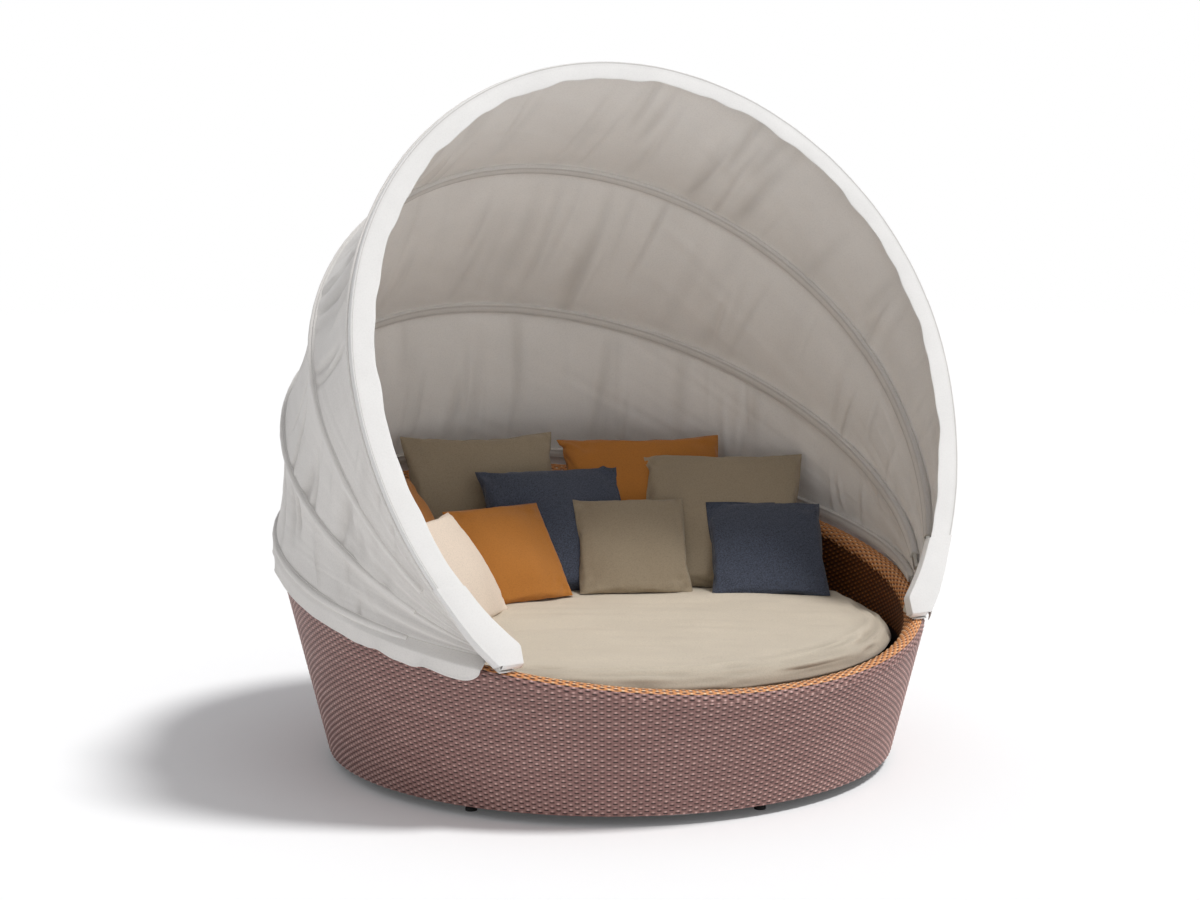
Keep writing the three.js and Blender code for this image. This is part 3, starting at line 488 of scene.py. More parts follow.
PIN_BASE = wall_point(np.array(PIN_ANGLE), CAP, rim_height(PIN_ANGLE))
PIN_SPAN = PIN_BASE[0]
PIN = np.array([0, PIN_BASE[1] - PIN_RISE * np.sin(RIM_TILT),
                PIN_BASE[2] + PIN_RISE * np.cos(RIM_TILT)])


def make_hoop(name):
    """A hoop's measures in its own plane: half width, where it is widest, reach, tilt, how far it
    hangs below its plane, and the depth of its lower half, which leads it to its strap."""
    half, widest, reach, rise = HOOP_SHARES[name]
    half, widest, reach = half * BASE_RADIUS, widest * BASE_RADIUS, reach * BASE_RADIUS
    lug = PIN_SPAN + LUG_OFFSETS[name]
    return SimpleNamespace(name=name, half=half, widest=widest, reach=reach,
                           tilt=RIM_TILT + np.radians(rise),
                           below=REAR_DROP if name == "rear" else 0,
                           drop=widest / np.sqrt(1 - (lug / half) ** 2))


HOOPS = [make_hoop(name) for name in ("front", "middle", "back", "rear")]
FRONT, REAR = HOOPS[0], HOOPS[3]


def turn_below(hoop, along):
    """Turn below its widest line at which a hoop's lower half is so far along its plane."""
    return np.arcsin((hoop.widest - along) / hoop.drop)


def station_turn(hoop, station, reach=CLOTH_REACH):
    """Turn round the hoop at a station: even steps between the tube's ends, and one step more to
    the given reach."""
    end, tube_end = turn_below(hoop, reach), turn_below(hoop, STRAP_REACH)
    return np.interp(station, [-1, 0, STATIONS, STATIONS + 1],
                     [-end, -tube_end, np.pi + tube_end, np.pi + end])


def lean_back(hoop, across, along, ahead):
    """Points given in a hoop's own plane, across, along and ahead of it, leant back about the
    pins."""
    cos, sin = np.cos(hoop.tilt), np.sin(hoop.tilt)
    return np.stack(np.broadcast_arrays(across, along * cos - ahead * sin,
                                        along * sin + ahead * cos), -1) + PIN


def hoop_along(hoop, turn):
    """Half depth and place along its plane of a hoop at a turn: two half ellipses that share their
    widest line."""
    depth = np.where(np.sin(turn) > 0, hoop.reach - hoop.widest, hoop.drop)
    return depth, hoop.widest + depth * np.sin(turn)


def hoop_point(hoop, turn, out=0.0, ahead=0.0):
    """A point of a hoop's centre line, offset outwards and ahead, leant back about the pins."""
    depth, along = hoop_along(hoop, turn)
    normal = unit(np.stack([np.cos(turn) / hoop.half, np.sin(turn) / depth], -1))
    return lean_back(hoop, hoop.half * np.cos(turn) + out * normal[..., 0],
                     along + out * normal[..., 1], ahead - hoop.below)


# Canopy cloth

def shoulder_line(station):
    """Where the skirt is led over the rim: just outside the weave, below the rear hoop."""
    top = hoop_point(REAR, station_turn(REAR, station), TUBE)
    angle = np.arctan2(top[:, 0], -top[:, 1])
    return wall_point(angle, -SKIRT_OFF, np.minimum(rim_height(angle), top[:, 2] - 2 * TUBE))


def cloth_normal(hoop, station, direction):
    """Normal of cloth that leaves a hoop in a direction, turned to the outside."""
    turn = station_turn(hoop, station)
    centre = hoop_point(hoop, turn)
    outward = hoop_point(hoop, turn, 1) - centre
    tangent = np.cross(hoop_point(hoop, turn, 0, 1) - centre, outward)
    normal = unit(np.cross(tangent, direction))
    return normal * np.sign(np.sum(normal * outward, -1, keepdims=True))


def mitre_line(index, station, level):
    """The line over a hoop where two lengths of cloth meet, at a level above its centre line."""
    def centre_of(hoop, ahead=0.0):
        return hoop_point(hoop, station_turn(hoop, station), 0, ahead)

    hoop = HOOPS[index]
    centre = centre_of(hoop)
    before = centre - (centre_of(hoop, 1) if hoop is FRONT else centre_of(HOOPS[index - 1]))
    after = (shoulder_line(station) if hoop is REAR else centre_of(HOOPS[index + 1])) - centre
    arriving = cloth_normal(hoop, station, before)
    mitre = unit(arriving + cloth_normal(hoop, station, after))
    return centre + mitre * (level / np.sum(mitre * arriving, -1, keepdims=True))


def gathered_folds(u, v, seed, slant):
    """Sum of narrow ridges and valleys that slant across the cloth, each a bell across and an eased
    bump along."""
    draw = np.random.RandomState(seed)
    fold = SimpleNamespace(**{key: draw.uniform(low, high, (FOLDS, 1, 1))
                              for key, (low, high) in FOLD_RANGES.items()})
    depth = fold.depth * (0.4 + 0.75 * fold.place)
    lean = slant * (fold.place - 0.5) * 2 + fold.lean
    across = (u[None] - fold.place - lean * (v[None] - fold.middle)) / fold.width
    along = np.clip(1 - ((v[None] - fold.middle) / fold.half) ** 2, 0, 1)
    return np.sum(depth * np.exp(-across ** 2) * along ** 1.5, 0)


def canopy_panel(settings, index, name):
    """Cloth between two hoops: straight lines from hoop to hoop, sagged as a parabola, then folded,
    rippled, and gathered at the pins. Returns it with each point's share of the front hoop."""
    station = np.linspace(-1, STATIONS + 1, ALONG["panel"])
    share = np.linspace(0, 1, DOWN["panel"])[None, :, None]
    # Each edge as it lies and a little higher up, for the cloth's own outward direction
    (near, near_up), (far, far_up) = (
        [mitre_line(k, station, level)[:, None, :] for level in (CLOTH_LEVEL, CLOTH_LEVEL + 4)]
        for k in (index, index + 1))
    normal = unit(near_up - near + far_up - far)
    span = np.linalg.norm(far - near, axis=-1)
    u = ((station + 1) / ALL_STEPS)[:, None] + 0 * share[..., 0]
    v = share[..., 0] + 0 * u
    # Folds fade where the cloth narrows, and at its sewn edges
    fade = np.clip(span / FULL_SPAN, 0, 1)
    edge = np.clip(np.minimum(v, 1 - v) / HEM_SHARE, 0, 1)
    edge = edge * edge * (3 - 2 * edge)
    folds = gathered_folds(u, v, FOLD_SEED + index, settings.fold_slant)
    ripple = soft_noise(u, v * 0.5, "ripple", index)
    ripple = ripple + 0.5 * soft_noise(u + 0.3 * v, v * 0.5, "cross ripple", index)
    end = HALF_LENGTH * np.minimum(u, 1 - u)
    waves = np.sin(TURN * GATHER_WAVES * v + GATHER_SLANT * end)
    gather = np.exp(-(end / GATHER_REACH) ** 2) * waves * np.clip(end / 0.02, 0, 1)
    creases = settings.fold_depth / MM * folds + settings.ripple_depth / MM * ripple
    dip = -SAG_SHARE * 4 * v * (1 - v) * span + fade * edge * creases
    dip = dip + GATHER_DEPTH * edge * gather * np.clip(span / GATHER_SPAN, 0, 1)
    points = near + (far - near) * share + normal * dip[..., None]
    # Painted shade: darker where the folds and the gathers at the pins stand out or sink in
    crease = np.clip(0.7 * np.abs(folds) * fade * edge + 0.5 * np.abs(gather) * edge, 0, 1)
    piece = surface(name, points, uv=pairs(u * CLOTH_LENGTH, v * CLOTH_WIDTH),
                    layers={"crease": crease}, flip=True)
    thicken(piece)
    return piece, 1 - v


def blend_by(piece, still, moving, weights):
    """Blends a sheet between two bodies by its own share across, so that its edges stay on their
    hoops."""
    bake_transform(piece, still, moving, start=(0, 0, 0), end=(0, 0, 1))
    blend = piece.data.attributes["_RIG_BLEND"]
    blend.data.foreach_set("value", weights.ravel().astype(np.float32))


def hoop_sleeve(settings, index, name):
    """Pocket of cloth round a hoop: flat inside, a round ridge over the tube outside, and a seam at
    each side. It narrows towards the pins, where folded hoops lie closest, and ends where it would
    be as slim as the tube."""
    hoop = HOOPS[index]
    low = turn_below(hoop, POCKET_FOOT)
    station = np.linspace(0, STATIONS, ALONG["pocket"])[:, None]
    turn = station / STATIONS * (np.pi + 2 * low) - low
    reach = hoop_along(hoop, turn)[1]
    half = np.minimum(settings.sleeve_width / MM / 2, reach * np.tan(NEAREST / 2) - POCKET_EASE)
    # The section: places across as shares of the half width, millimetres out from the tube's centre
    outside = np.array([-1, -0.9, -0.78, -0.66, -0.5, -0.34, -0.17, 0,
                        0.17, 0.34, 0.5, 0.66, 0.78, 0.9, 1])
    ridge = 10.2 + 7 * np.sqrt(np.clip(1 - (outside / 0.68) ** 2, 0, 1))
    ridge = ridge - 1.2 * (np.abs(outside) == 0.78)
    inside = np.array([0.96, 0.8, 0.7, 0.35, 0, -0.35, -0.7, -0.8, -0.96])
    under = np.array([-10.6, -11.4, -10.8, -12.2, -12.8, -12.2, -10.8, -11.4, -10.6])
    ahead = half * np.concatenate([outside, inside])[None, :]
    out = np.concatenate([ridge, under])[None, :]
    around = np.arange(out.size)[None, :] / out.size
    pucker = 0.55 * soft_noise(station / ALL_STEPS, around, "pocket", index)
    points = hoop_point(hoop, turn, out + pucker, ahead)
    # Painted shade: darker along each seam and over the whole inner face
    seam = np.exp(-((np.abs(ahead) / half - 0.75) / 0.07) ** 2)
    wear_and_shade = np.clip(seam + 0.55 * (out < 0), 0, 1)
    girth = 0.07
    return tube(name, points, uv=pairs(station / STATIONS * CLOTH_LENGTH, around * girth),
                lap=(0, girth), layers={"crease": wear_and_shade})


def edge_cord():
    """Cloth-covered cord along the band's outer edge: a circle carried round, slightly puckered."""
    station = np.linspace(-0.6, STATIONS + 0.6, ALONG["cord"])[:, None]
    turn = station_turn(FRONT, station, BAND_REACH)
    phase = (np.arange(12) / 12 * TURN)[None, :]
    radius = CORD_RADIUS + 0.35 * soft_noise(station / ALL_STEPS, phase / TURN, "cord")
    points = hoop_point(FRONT, turn, CORD_OUT + radius * np.cos(phase),
                        CORD_AHEAD + radius * np.sin(phase))
    girth = 0.033
    return tube("edge_cord", points, lap=(0, girth),
                uv=pairs(station / STATIONS * CLOTH_LENGTH, phase / TURN * girth))


def front_band(settings):
    """Facing of the front hoop: a rounded strip with a corded outer edge and a wavy inner hem,
    carried round."""
    station = np.linspace(-1, STATIONS + 1, ALONG["band"])[:, None]
    turn = station_turn(FRONT, station, BAND_REACH)
    # The section, in millimetres: out from the tube's centre, and ahead of it
    out = np.array([15.0, 16.6, 16.9, 16.4, 15.2, 13.2, 11.6, 9, 0, -12, -26, -38, -45.5, -47.6,
                    -48.2, -47.4, -44, -20, 8, 11.6, 12.0, 12.2])[None, :]
    ahead = np.array([0.5, 2.5, 8, 13, 15.8, 16.9, 16.2, 15.9, 16.8, 17.2, 17.0, 16.5, 15.9, 15.2,
                      14.3, 13.4, 12.7, 12.5, 12.4, 12.3, 8, 0.5])[None, :]
    hem_width, face_level, edge_line_place = 48, 14, 6
    ease = np.clip(np.minimum(station + 1, STATIONS + 1 - station) / 3, 0, 1)
    wave = sum(height * np.sin(station * rate + start) for height, rate, start in HEM_WAVES)
    wave = wave * ease * settings.hem_wave
    share = np.clip(-out / hem_width, 0, 1) ** 1.5
    slim = 1 - 0.3 * np.clip(np.sin(turn), 0, 1) ** 2 * (out < 0)
    puff = 0.8 * soft_noise(station / ALL_STEPS, out / 90, "band") * (ahead > face_level)
    points = hoop_point(FRONT, turn, out * slim + wave * share, ahead + puff + 0.35 * wave * share)
    # A thin darker line along the band, near its corded edge
    edge_line = np.exp(-((np.arange(out.size)[None, :] - edge_line_place) / 0.7) ** 2) + 0 * turn
    return tube("front_band_cover", points, uv=pairs(station / STATIONS * CLOTH_LENGTH, out * MM),
                flip=True, layers={"crease": edge_line})


def side_name(name, side):
    """A piece's name with its side: -1 is left, 1 is right."""
    return f"{name}_{'right' if side > 0 else 'left'}"


def cuff(side):
    """Cover of the band's end: a channel-shaped section at six levels, widened inwards at its foot
    to stand over the bracket, with its edges turned."""
    back, face = 16.6, 20.6
    # The section's corners, out and ahead in millimetres, and how far they draw in further up
    section = np.array([[24, face], [24, -12], [20, -12], [20, back],
                        [-52, back], [-52, -5], [-56, -5], [-56, face]])
    slim = np.array([[-6.6, -3.2], [-6.6, 2], [-4.5, 2], [-4.5, 0.6],
                     [1.5, 0.6], [1.5, 0], [7.2, 0], [7.2, -3.2]])
    rows = []
    for along in CUFF_LEVELS:
        turn = -turn_below(FRONT, along)
        normal = unit(np.array([np.cos(turn) / FRONT.half, np.sin(turn) / FRONT.drop]))
        out, ahead = (section + slim * np.clip((along - SLIM_FROM) / SLIM_OVER, 0, 1)).T
        boxed = (out < 0) & (along < BAND_REACH)
        across = np.where(boxed, PIN_SPAN - CUFF_INSET + CUFF_DEPTH + out,
                          FRONT.half * np.cos(turn) + out / normal[0])
        rows.append(np.stack([side * across, along + 0 * across, ahead], -1))
    rows = np.array(rows)
    low, high = CUFF_LEVELS[0], CUFF_LEVELS[-1]
    steps = np.linspace(0, 1, 30) * (high - low) + low
    dense = np.stack([np.stack([np.interp(steps, CUFF_LEVELS, rows[:, k, c]) for c in range(3)], -1)
                      for k in range(len(section))], 1)
    points = lean_back(FRONT, dense[..., 0], dense[..., 1], dense[..., 2])
    piece = tube(side_name("cuff_cover", side), points, uv=dense[..., :2] * MM)
    bevel = piece.modifiers.new("Turned edges", "BEVEL")
    bevel.width = CUFF_ROUND * MM
    bevel.segments = 3
    bevel.limit_method = "ANGLE"
    bevel.angle_limit = np.radians(35)
    return piece


def cuff_lip(side):
    """Turned-in foot of a cuff: an arc round the pin, 2 mm thick, from the front wall's foot to
    over the bracket."""
    turn = -turn_below(FRONT, CUFF_LEVELS[0])
    across = np.linspace(PIN_SPAN - CUFF_INSET + LIP_NEAR, FRONT.half * np.cos(turn) + LIP_FAR,
                         12)[:, None]
    arc = np.radians(np.linspace(LIP_FROM, LIP_TO, 14))
    loop = np.concatenate([arc, arc[::-1]])[None, :]
    radius = np.repeat([LIP_OUTER, LIP_INNER], arc.size)[None, :]
    points = lean_back(FRONT, side * across, -radius * np.cos(loop), radius * np.sin(loop))
    return tube(side_name("cuff_lip", side), points, uv=pairs(across, radius * loop) * MM)


def skirt_sheet(settings):
    """Skirt: from the rear hoop over the rim's shoulder and down outside the weave, fluted to a
    scalloped hem."""
    station = np.linspace(-1, STATIONS + 1, ALONG["skirt"])
    top = mitre_line(3, station, CLOTH_LEVEL)
    led = shoulder_line(station)
    angle = np.arctan2(led[:, 0], -led[:, 1])
    # The hem rises to nothing over the last few degrees, as a quarter ellipse
    tail = np.clip((np.abs(angle) - np.abs(angle).min()) / HEM_TAIL, 0, 1)
    drop = -HEM_LIFT + HEM_DEPTH * np.sqrt(1 - (1 - tail) ** 2)
    phase = np.pi * station + 1.4 * soft_noise(station / ALL_STEPS, 0 * station, "flute")
    flute = np.cos(phase) + 0.4 * np.cos(2.3 * phase + 1)
    uneven = 1 + 0.8 * soft_noise(station / ALL_STEPS, 0 * station, "hem")
    scallop = settings.hem_wave * SCALLOP * flute * uneven * tail
    level = np.minimum(rim_height(angle), led[:, 2]) - drop + scallop
    hem = wall_point(angle, -HEM_OFF - FLUTE * (1 + flute), level)
    # Shares down the cloth: 0 at the hoop, 1 at the shoulder, 2 at the hem
    share = np.linspace(0, 2, DOWN["skirt"])[None, :, None]
    first, second = np.clip(share, 0, 1), np.clip(share - 1, 0, 1)
    points = top[:, None] + (led - top)[:, None] * first + (hem - led)[:, None] * second
    share = share[..., 0]
    outward = np.stack([np.sin(angle), -np.cos(angle), 0 * angle], -1)[:, None]
    station = station[:, None]
    swell = SWELL * np.sin(np.pi * share / 2) * soft_noise(station / ALL_STEPS, share / 2, "swell")
    roll = ROLL * np.exp(-((share - ROLL_PLACE) / ROLL_WIDTH) ** 2)
    points = points + outward * (swell + roll)[..., None]
    piece = surface("skirt_cover", points, flip=True,
                    uv=pairs(station / STATIONS * CLOTH_LENGTH, share * 0.05))
    thicken(piece)
    return piece


# Mattress and pillows

MATTRESS_FLAT = wall_radius(MATTRESS_EDGE) - WALL - MATTRESS_CLEAR - DRAWN_IN - SHOULDER
CROWN = (MATTRESS_TOP - MATTRESS_EDGE) / 3


def mattress_profile():
    """Half section of the mattress: flat underside, rounded foot, side with a waist of half a sine
    wave, an elliptical shoulder, and a low crown."""
    foot = wall_radius(DECK_TOP) - WALL - MATTRESS_CLEAR
    low = DECK_TOP + RESTING_GAP
    brim = wall_radius(MATTRESS_EDGE) - WALL - MATTRESS_CLEAR - DRAWN_IN
    level = MATTRESS_TOP - CROWN - SHOULDER_DROP
    down = np.linspace(-np.pi / 2, 0, 9)
    up = np.linspace(0, np.pi / 2, 26)
    inner = np.linspace(1, 0.004, 46)[1:]
    side = np.linspace(0, 1, 16)[1:-1]
    radius = np.concatenate([np.linspace(3, foot - FOOT_ROUND, 8)[:-1],
                             foot - FOOT_ROUND + FOOT_ROUND * np.cos(down),
                             foot + (brim - foot) * side - WAIST * np.sin(np.pi * side),
                             brim - SHOULDER + SHOULDER * np.cos(up),
                             (brim - SHOULDER) * inner])
    height = np.concatenate([np.full(7, low), low + FOOT_ROUND + FOOT_ROUND * np.sin(down),
                             low + FOOT_ROUND + (level - low - FOOT_ROUND) * side,
                             level + SHOULDER_DROP * np.sin(up),
                             MATTRESS_TOP - CROWN * inner ** 2])
    return radius, height


def mattress(settings):
    """The half section turned round, with a slack cover: long creases round the shoulder and soft
    hollows on top, and painted shade towards the edge and in the creases."""
    radius, height = mattress_profile()
    angle = angles_round("mattress")
    edge = radius.max()
    on_top = np.clip((height - TOP_FROM) / TOP_EASE, 0, 1)[None, :]
    near_edge = np.exp(-((radius - (edge - CREASE_IN)) / CREASE_WIDTH) ** 2)
    near_edge = (near_edge * np.clip((height - SIDE_FROM) / SIDE_EASE, 0, 1))[None, :]
    x, y = (radius / edge)[None, :] * np.sin(angle), (radius / edge)[None, :] * np.cos(angle)
    # The hollows lie along a line 31 degrees off the front
    level, across = (0.86 * x + 0.52 * y) / 4 + 0.5, (0.86 * y - 0.52 * x) / 4 + 0.5
    hollows = soft_noise(level, across, "hollow") + 0.6 * soft_noise(level, across, "small hollow")
    path = np.cumsum(np.hypot(np.gradient(radius), np.gradient(height)))[None, :]
    crease = soft_noise(angle / TURN + 0.0002 * path, path / CREASE_RUN, "crease")
    crease = 1.2 * crease * np.abs(crease)
    crease = crease + 0.5 * soft_noise(angle / TURN, path / CREASE_RUN, "small crease")
    depth = settings.mattress_slack / MM
    lift = depth * (0.4 * on_top * (1 - near_edge) * hollows + 0.9 * near_edge * crease)
    reach = radius + 0.6 * lift * near_edge
    points = np.stack([reach * np.sin(angle), -reach * np.cos(angle), height + lift * on_top], -1)
    # Painted shade: darker towards the edge, over the shoulder and side, and in the creases' hollows near it
    turned = np.clip((radius - (edge - SHADE_IN)) / SHADE_IN, 0, 1)[None, :] ** 2
    wear_and_shade = np.clip(0.85 * turned + 0.9 * near_edge * np.clip(-crease, 0, 1), 0, 1)
    piece = surface("mattress_cover", points, wrap_u=True, uv=pairs(x, y) * edge * MM, flip=True,
                    layers={"crease": wear_and_shade})
    steps, total = len(radius), len(piece.data.vertices)
    return close_rings(piece, [range(start, total, steps) for start in (0, steps - 1)])


def pillow_mesh(name, size, thickness):
    """Two layers that share their edge: cut a little fuller between the corners, and crowned front
    and back. Their points stand closer together towards the edge, as a sine does."""
    count = PILLOW_CELLS + 1
    spread = 2 * PILLOW_SPREAD
    place = np.sin(np.pi * (np.arange(count) / PILLOW_CELLS - 0.5) * spread)
    place = place / np.sin(np.pi * PILLOW_SPREAD)
    across, up = np.meshgrid(place, place, indexing="ij")
    crown = np.clip((1 - across ** 2) * (1 - up ** 2), 0, 1) ** 0.75
    front = np.stack([size / 2 * across * (1 + PILLOW_EASE * (1 - up ** 2)),
                      size / 2 * up * (1 + PILLOW_EASE * (1 - across ** 2)),
                      thickness / 2 * crown], -1)
    index = np.arange(count * count).reshape(count, count)
    inner = np.zeros((count, count), bool)
    inner[1:-1, 1:-1] = True
    back_index = index.copy()
    back_index[inner] = count * count + np.arange(inner.sum())
    back = front[inner] * np.array([1, 1, -1])
    quads = [np.stack([k[:-1, :-1], k[1:, :-1], k[1:, 1:], k[:-1, 1:]], -1).reshape(-1, 4)
             for k in (index, back_index)]
    return from_faces(name, np.vstack([front.reshape(-1, 3), back]),
                      np.vstack([quads[0], quads[1][:, ::-1]]))


def points_of(mesh):
    """A mesh's points in millimetres."""
    co = np.empty(len(mesh.vertices) * 3, np.float32)
    mesh.vertices.foreach_get("co", co)
    return co.reshape(-1, 3).astype(float) / MM


def stuff_pillows(pieces, settings):
    """Fills the covers with air pressure, all in one run, and returns their points in millimetres.
    No point goes further than the cap from where it was cut."""
    scene = bpy.context.scene
    for piece in pieces:
        cloth = piece.modifiers.new("Stuffing", "CLOTH")
        for key, value in STUFFING.items():
            setattr(cloth.settings, key, value)
        cloth.settings.uniform_pressure_force = settings.pillow_pressure
        cloth.settings.effector_weights.gravity = 0
        cloth.collision_settings.use_collision = False
        cloth.collision_settings.use_self_collision = False
        cloth.point_cache.frame_start = 1
        cloth.point_cache.frame_end = STUFFING_STEPS
    for step in range(1, STUFFING_STEPS + 1):
        scene.frame_set(step)
    graph = bpy.context.evaluated_depsgraph_get()
    results = []
    for piece in pieces:
        start = points_of(piece.data)
        moved = points_of(piece.evaluated_get(graph).data) - start
        way = np.linalg.norm(moved, axis=1, keepdims=True)
        share = np.minimum(1, settings.pillow_cap / MM / np.maximum(way, 1e-6))
        results.append(start + moved * share)
        piece.modifiers.clear()
    scene.frame_set(1)
    return results


def pillow_frame(x, y, size, turn, lean):
    """Axes and origin of a pillow that stands on its lower edge, leans back and is turned about the
    vertical."""
    t, tilt = np.radians(turn), np.pi / 2 - np.radians(lean)
    across = np.array([np.cos(t), np.sin(t), 0])
    level = np.array([-np.sin(t), np.cos(t), 0])
    up = level * np.cos(tilt) + np.array([0, 0, np.sin(tilt)])
    foot = np.array([x, y, MATTRESS_TOP - PILLOW_SINK])
    return np.array([across, up, np.cross(across, up)]), foot + up * size / 2


def seam_puckers(local, size, variant):
    """Small gathers that fade away from the seam, corner creases, and a few shallow dents over the
    whole front."""
    a, b = local[:, 0] / size + 0.5, local[:, 1] / size + 0.5
    side_a, side_b = np.minimum(a, 1 - a), np.minimum(b, 1 - b)
    near = np.minimum(side_a, side_b).clip(0)
    corner = np.hypot(side_a, side_b)
    gathers = (soft_noise(a, 0.3 * b + 0.1, "gather across", variant)
               + soft_noise(0.3 * a + 0.1, b, "gather up", variant))
    creases = soft_noise(a + b, a - b, "corner", variant)
    dents = soft_noise(a * 0.5, b * 0.5, "dent", variant)
    outward = np.sign(local[:, 2]) * np.clip(near / SEAM_FADE, 0, 1)
    return outward * (GATHERS[0] * gathers * np.exp(-near / GATHERS[1])
                      + CORNERS[0] * creases * np.exp(-(corner / CORNERS[1]) ** 2)
                      + DENTS[0] * dents * np.clip(near / DENTS[1], 0, 1))


def pillow_height(local, size, front):
    """Height of a stuffed cover's front over a point of its own plane, read between the points of
    its grid, and whether the point lies inside the cover's drawn-in edge."""
    a, b = local[:, 0] / (size / 2), local[:, 1] / (size / 2)
    inside = (np.abs(a) < 0.99 - PILLOW_PULL * (1 - b ** 2))
    inside = inside & (np.abs(b) < 0.99 - PILLOW_PULL * (1 - a ** 2))
    a, b = (np.clip(k / (1 - PILLOW_PULL * (1 - np.clip(m, -1, 1) ** 2)), -1, 1)
            for k, m in ((a, b), (b, a)))
    spread = 2 * PILLOW_SPREAD
    i, j = ((np.arcsin(k * np.sin(PILLOW_SPREAD * np.pi)) / (spread * np.pi) + 0.5) * PILLOW_CELLS
            for k in (a, b))
    m, n = (np.clip(np.floor(k).astype(int), 0, PILLOW_CELLS - 1) for k in (i, j))
    i, j = i - m, j - n
    low = front[m, n] * (1 - i) + front[m + 1, n] * i
    high = front[m, n + 1] * (1 - i) + front[m + 1, n + 1] * i
    return low * (1 - j) + high * j, inside


def settle_pillow(points, placed):
    """Presses a pillow off the front of each pillow placed before it, and flat on the mattress."""
    for axes, origin, size, front in placed:
        local = (points - origin) @ axes.T
        height, inside = pillow_height(local, size, front)
        short = np.clip(height + PILLOW_SKIN - local[:, 2], 0, None)
        short = short * inside * (local[:, 2] > PILLOW_BEHIND)
        points = points + short[:, None] * axes[2]
    reach = np.hypot(points[:, 0], points[:, 1]) / MATTRESS_FLAT
    seat = MATTRESS_TOP - CROWN * np.clip(reach, 0, 1) ** 2 + RESTING_GAP
    points = points.copy()
    points[:, 2] = np.maximum(points[:, 2], seat)
    return points


# Materials

def cells(size):
    """Scale of a noise or cell texture whose features are so many millimetres wide."""
    return 1 / (size * MM)


def bands(size):
    """Scale of a wave texture whose bands repeat every so many millimetres."""
    return TURN / 20 / (size * MM)


def tinted(colour, share):
    """A linear colour made darker or lighter by a share."""
    return tuple(min(1, channel * share) for channel in colour)


def grey(level):
    """A linear grey."""
    return (level, level, level)


def new_material(name):
    """A material with its node tree and its shader."""
    material = bpy.data.materials.new(name)
    material.use_nodes = True
    return material, material.node_tree, material.node_tree.nodes["Principled BSDF"]


def feed(tree, node, sockets):
    """Gives sockets of a node a plain value, another node's output, or a node whose one live output
    is meant."""
    for key, value in sockets.items():
        if isinstance(value, bpy.types.Node):
            value = next(output for output in value.outputs if output.enabled)
        if isinstance(value, bpy.types.NodeSocket):
            tree.links.new(value, node.inputs[key])
        else:
            node.inputs[key].default_value = value


def add(tree, kind, sockets=None, stops=(), **settings):
    """Adds a shader node: its properties, what feeds its sockets, and a ramp's colour stops."""
    node = tree.nodes.new("ShaderNode" + kind)
    for key, value in settings.items():
        setattr(node, key, value)
    feed(tree, node, sockets or {})
    if stops:
        ramp = node.color_ramp
        while len(ramp.elements) < len(stops):
            ramp.elements.new(0.5)
        for element, (place, colour) in zip(ramp.elements, stops):
            element.position = place
            element.color = (*colour, 1)
    return node


def woven_strand(name, gap, body, light):
    """Plain weave of two-colour plastic strand, mapped in stakes across and rows up.
    To the eye: staggered pale beads where a strand passes over a stake, painted highlight, and a
    short dark gap under each, painted shadow, satin between. A bead is cos(pi x) to the 5th times
    cos(pi y), a gap 1.6 cos(pi x) times cos(pi y) squared, 0.63 of a row lower."""
    material, tree, shader = new_material(name)
    place = add(tree, "TexCoord")
    over = {}
    for part, lower in (("bead", 0), ("gap", 0.63)):
        turned = add(tree, "VectorMath", {0: place.outputs["UV"], 1: (np.pi, np.pi, 0),
                                          2: (0, np.pi * (lower - 0.5), 0)},
                     operation="MULTIPLY_ADD")
        waves = add(tree, "VectorMath", {0: turned}, operation="COSINE")
        split = add(tree, "SeparateXYZ", {0: waves})
        x, y = split.outputs["X"], split.outputs["Y"]
        both = add(tree, "Math", {0: x, 1: y}, operation="MULTIPLY", use_clamp=True)
        if part == "bead":
            sharp = add(tree, "Math", {0: x, 1: 4.0}, operation="POWER")
        else:
            sharp = add(tree, "Math", {0: y}, operation="ABSOLUTE")
        over[part] = add(tree, "Math", {0: both, 1: sharp}, operation="MULTIPLY")
    tone = add(tree, "Attribute", attribute_name="tone").outputs["Fac"]
    # Painted highlight on each bead, brighter on paler strands
    glint = add(tree, "Math", {0: tone, 1: 0.5, 2: 0.6}, operation="MULTIPLY_ADD")
    bright = add(tree, "Math", {0: over["bead"], 1: glint}, operation="MULTIPLY", use_clamp=True)
    # Painted shadow in the short gap under each bead
    deep = add(tree, "Math", {0: over["gap"], 1: 1.6}, operation="MULTIPLY", use_clamp=True)
    dark = add(tree, "Mix", {0: deep, 6: (*body, 1), 7: (*gap, 1)}, data_type="RGBA")
    bead = add(tree, "Mix", {0: bright, 6: dark, 7: (*light, 1)}, data_type="RGBA")
    # Each strand's own tone, and streaks along it: real ones are 0.5 mm wide, drawn at 2.4 mm so
    # that they show
    strand = add(tree, "ValToRGB", {0: tone}, [(0.2, (0.69, 0.58, 0.58)), (0.8, grey(1))])
    shade = add(tree, "Mix", {0: 0.35, 6: bead, 7: strand}, data_type="RGBA", blend_type="MULTIPLY")
    fleck = add(tree, "TexNoise", {"Vector": place.outputs["Object"], "Scale": cells(2.4),
                                   "Detail": 2.0}).outputs[0]
    speck = add(tree, "ValToRGB", {0: fleck}, [(0.35, (0.58, 0.51, 0.51)), (0.65, grey(1))])
    fine = add(tree, "Mix", {0: 0.3, 6: shade, 7: speck}, data_type="RGBA", blend_type="MULTIPLY")
    bump = add(tree, "Bump", {"Height": fleck, "Strength": 0.25, "Distance": 0.0004})
    feed(tree, shader, {"Base Color": fine, "Normal": bump, "Roughness": 0.48})
    return material


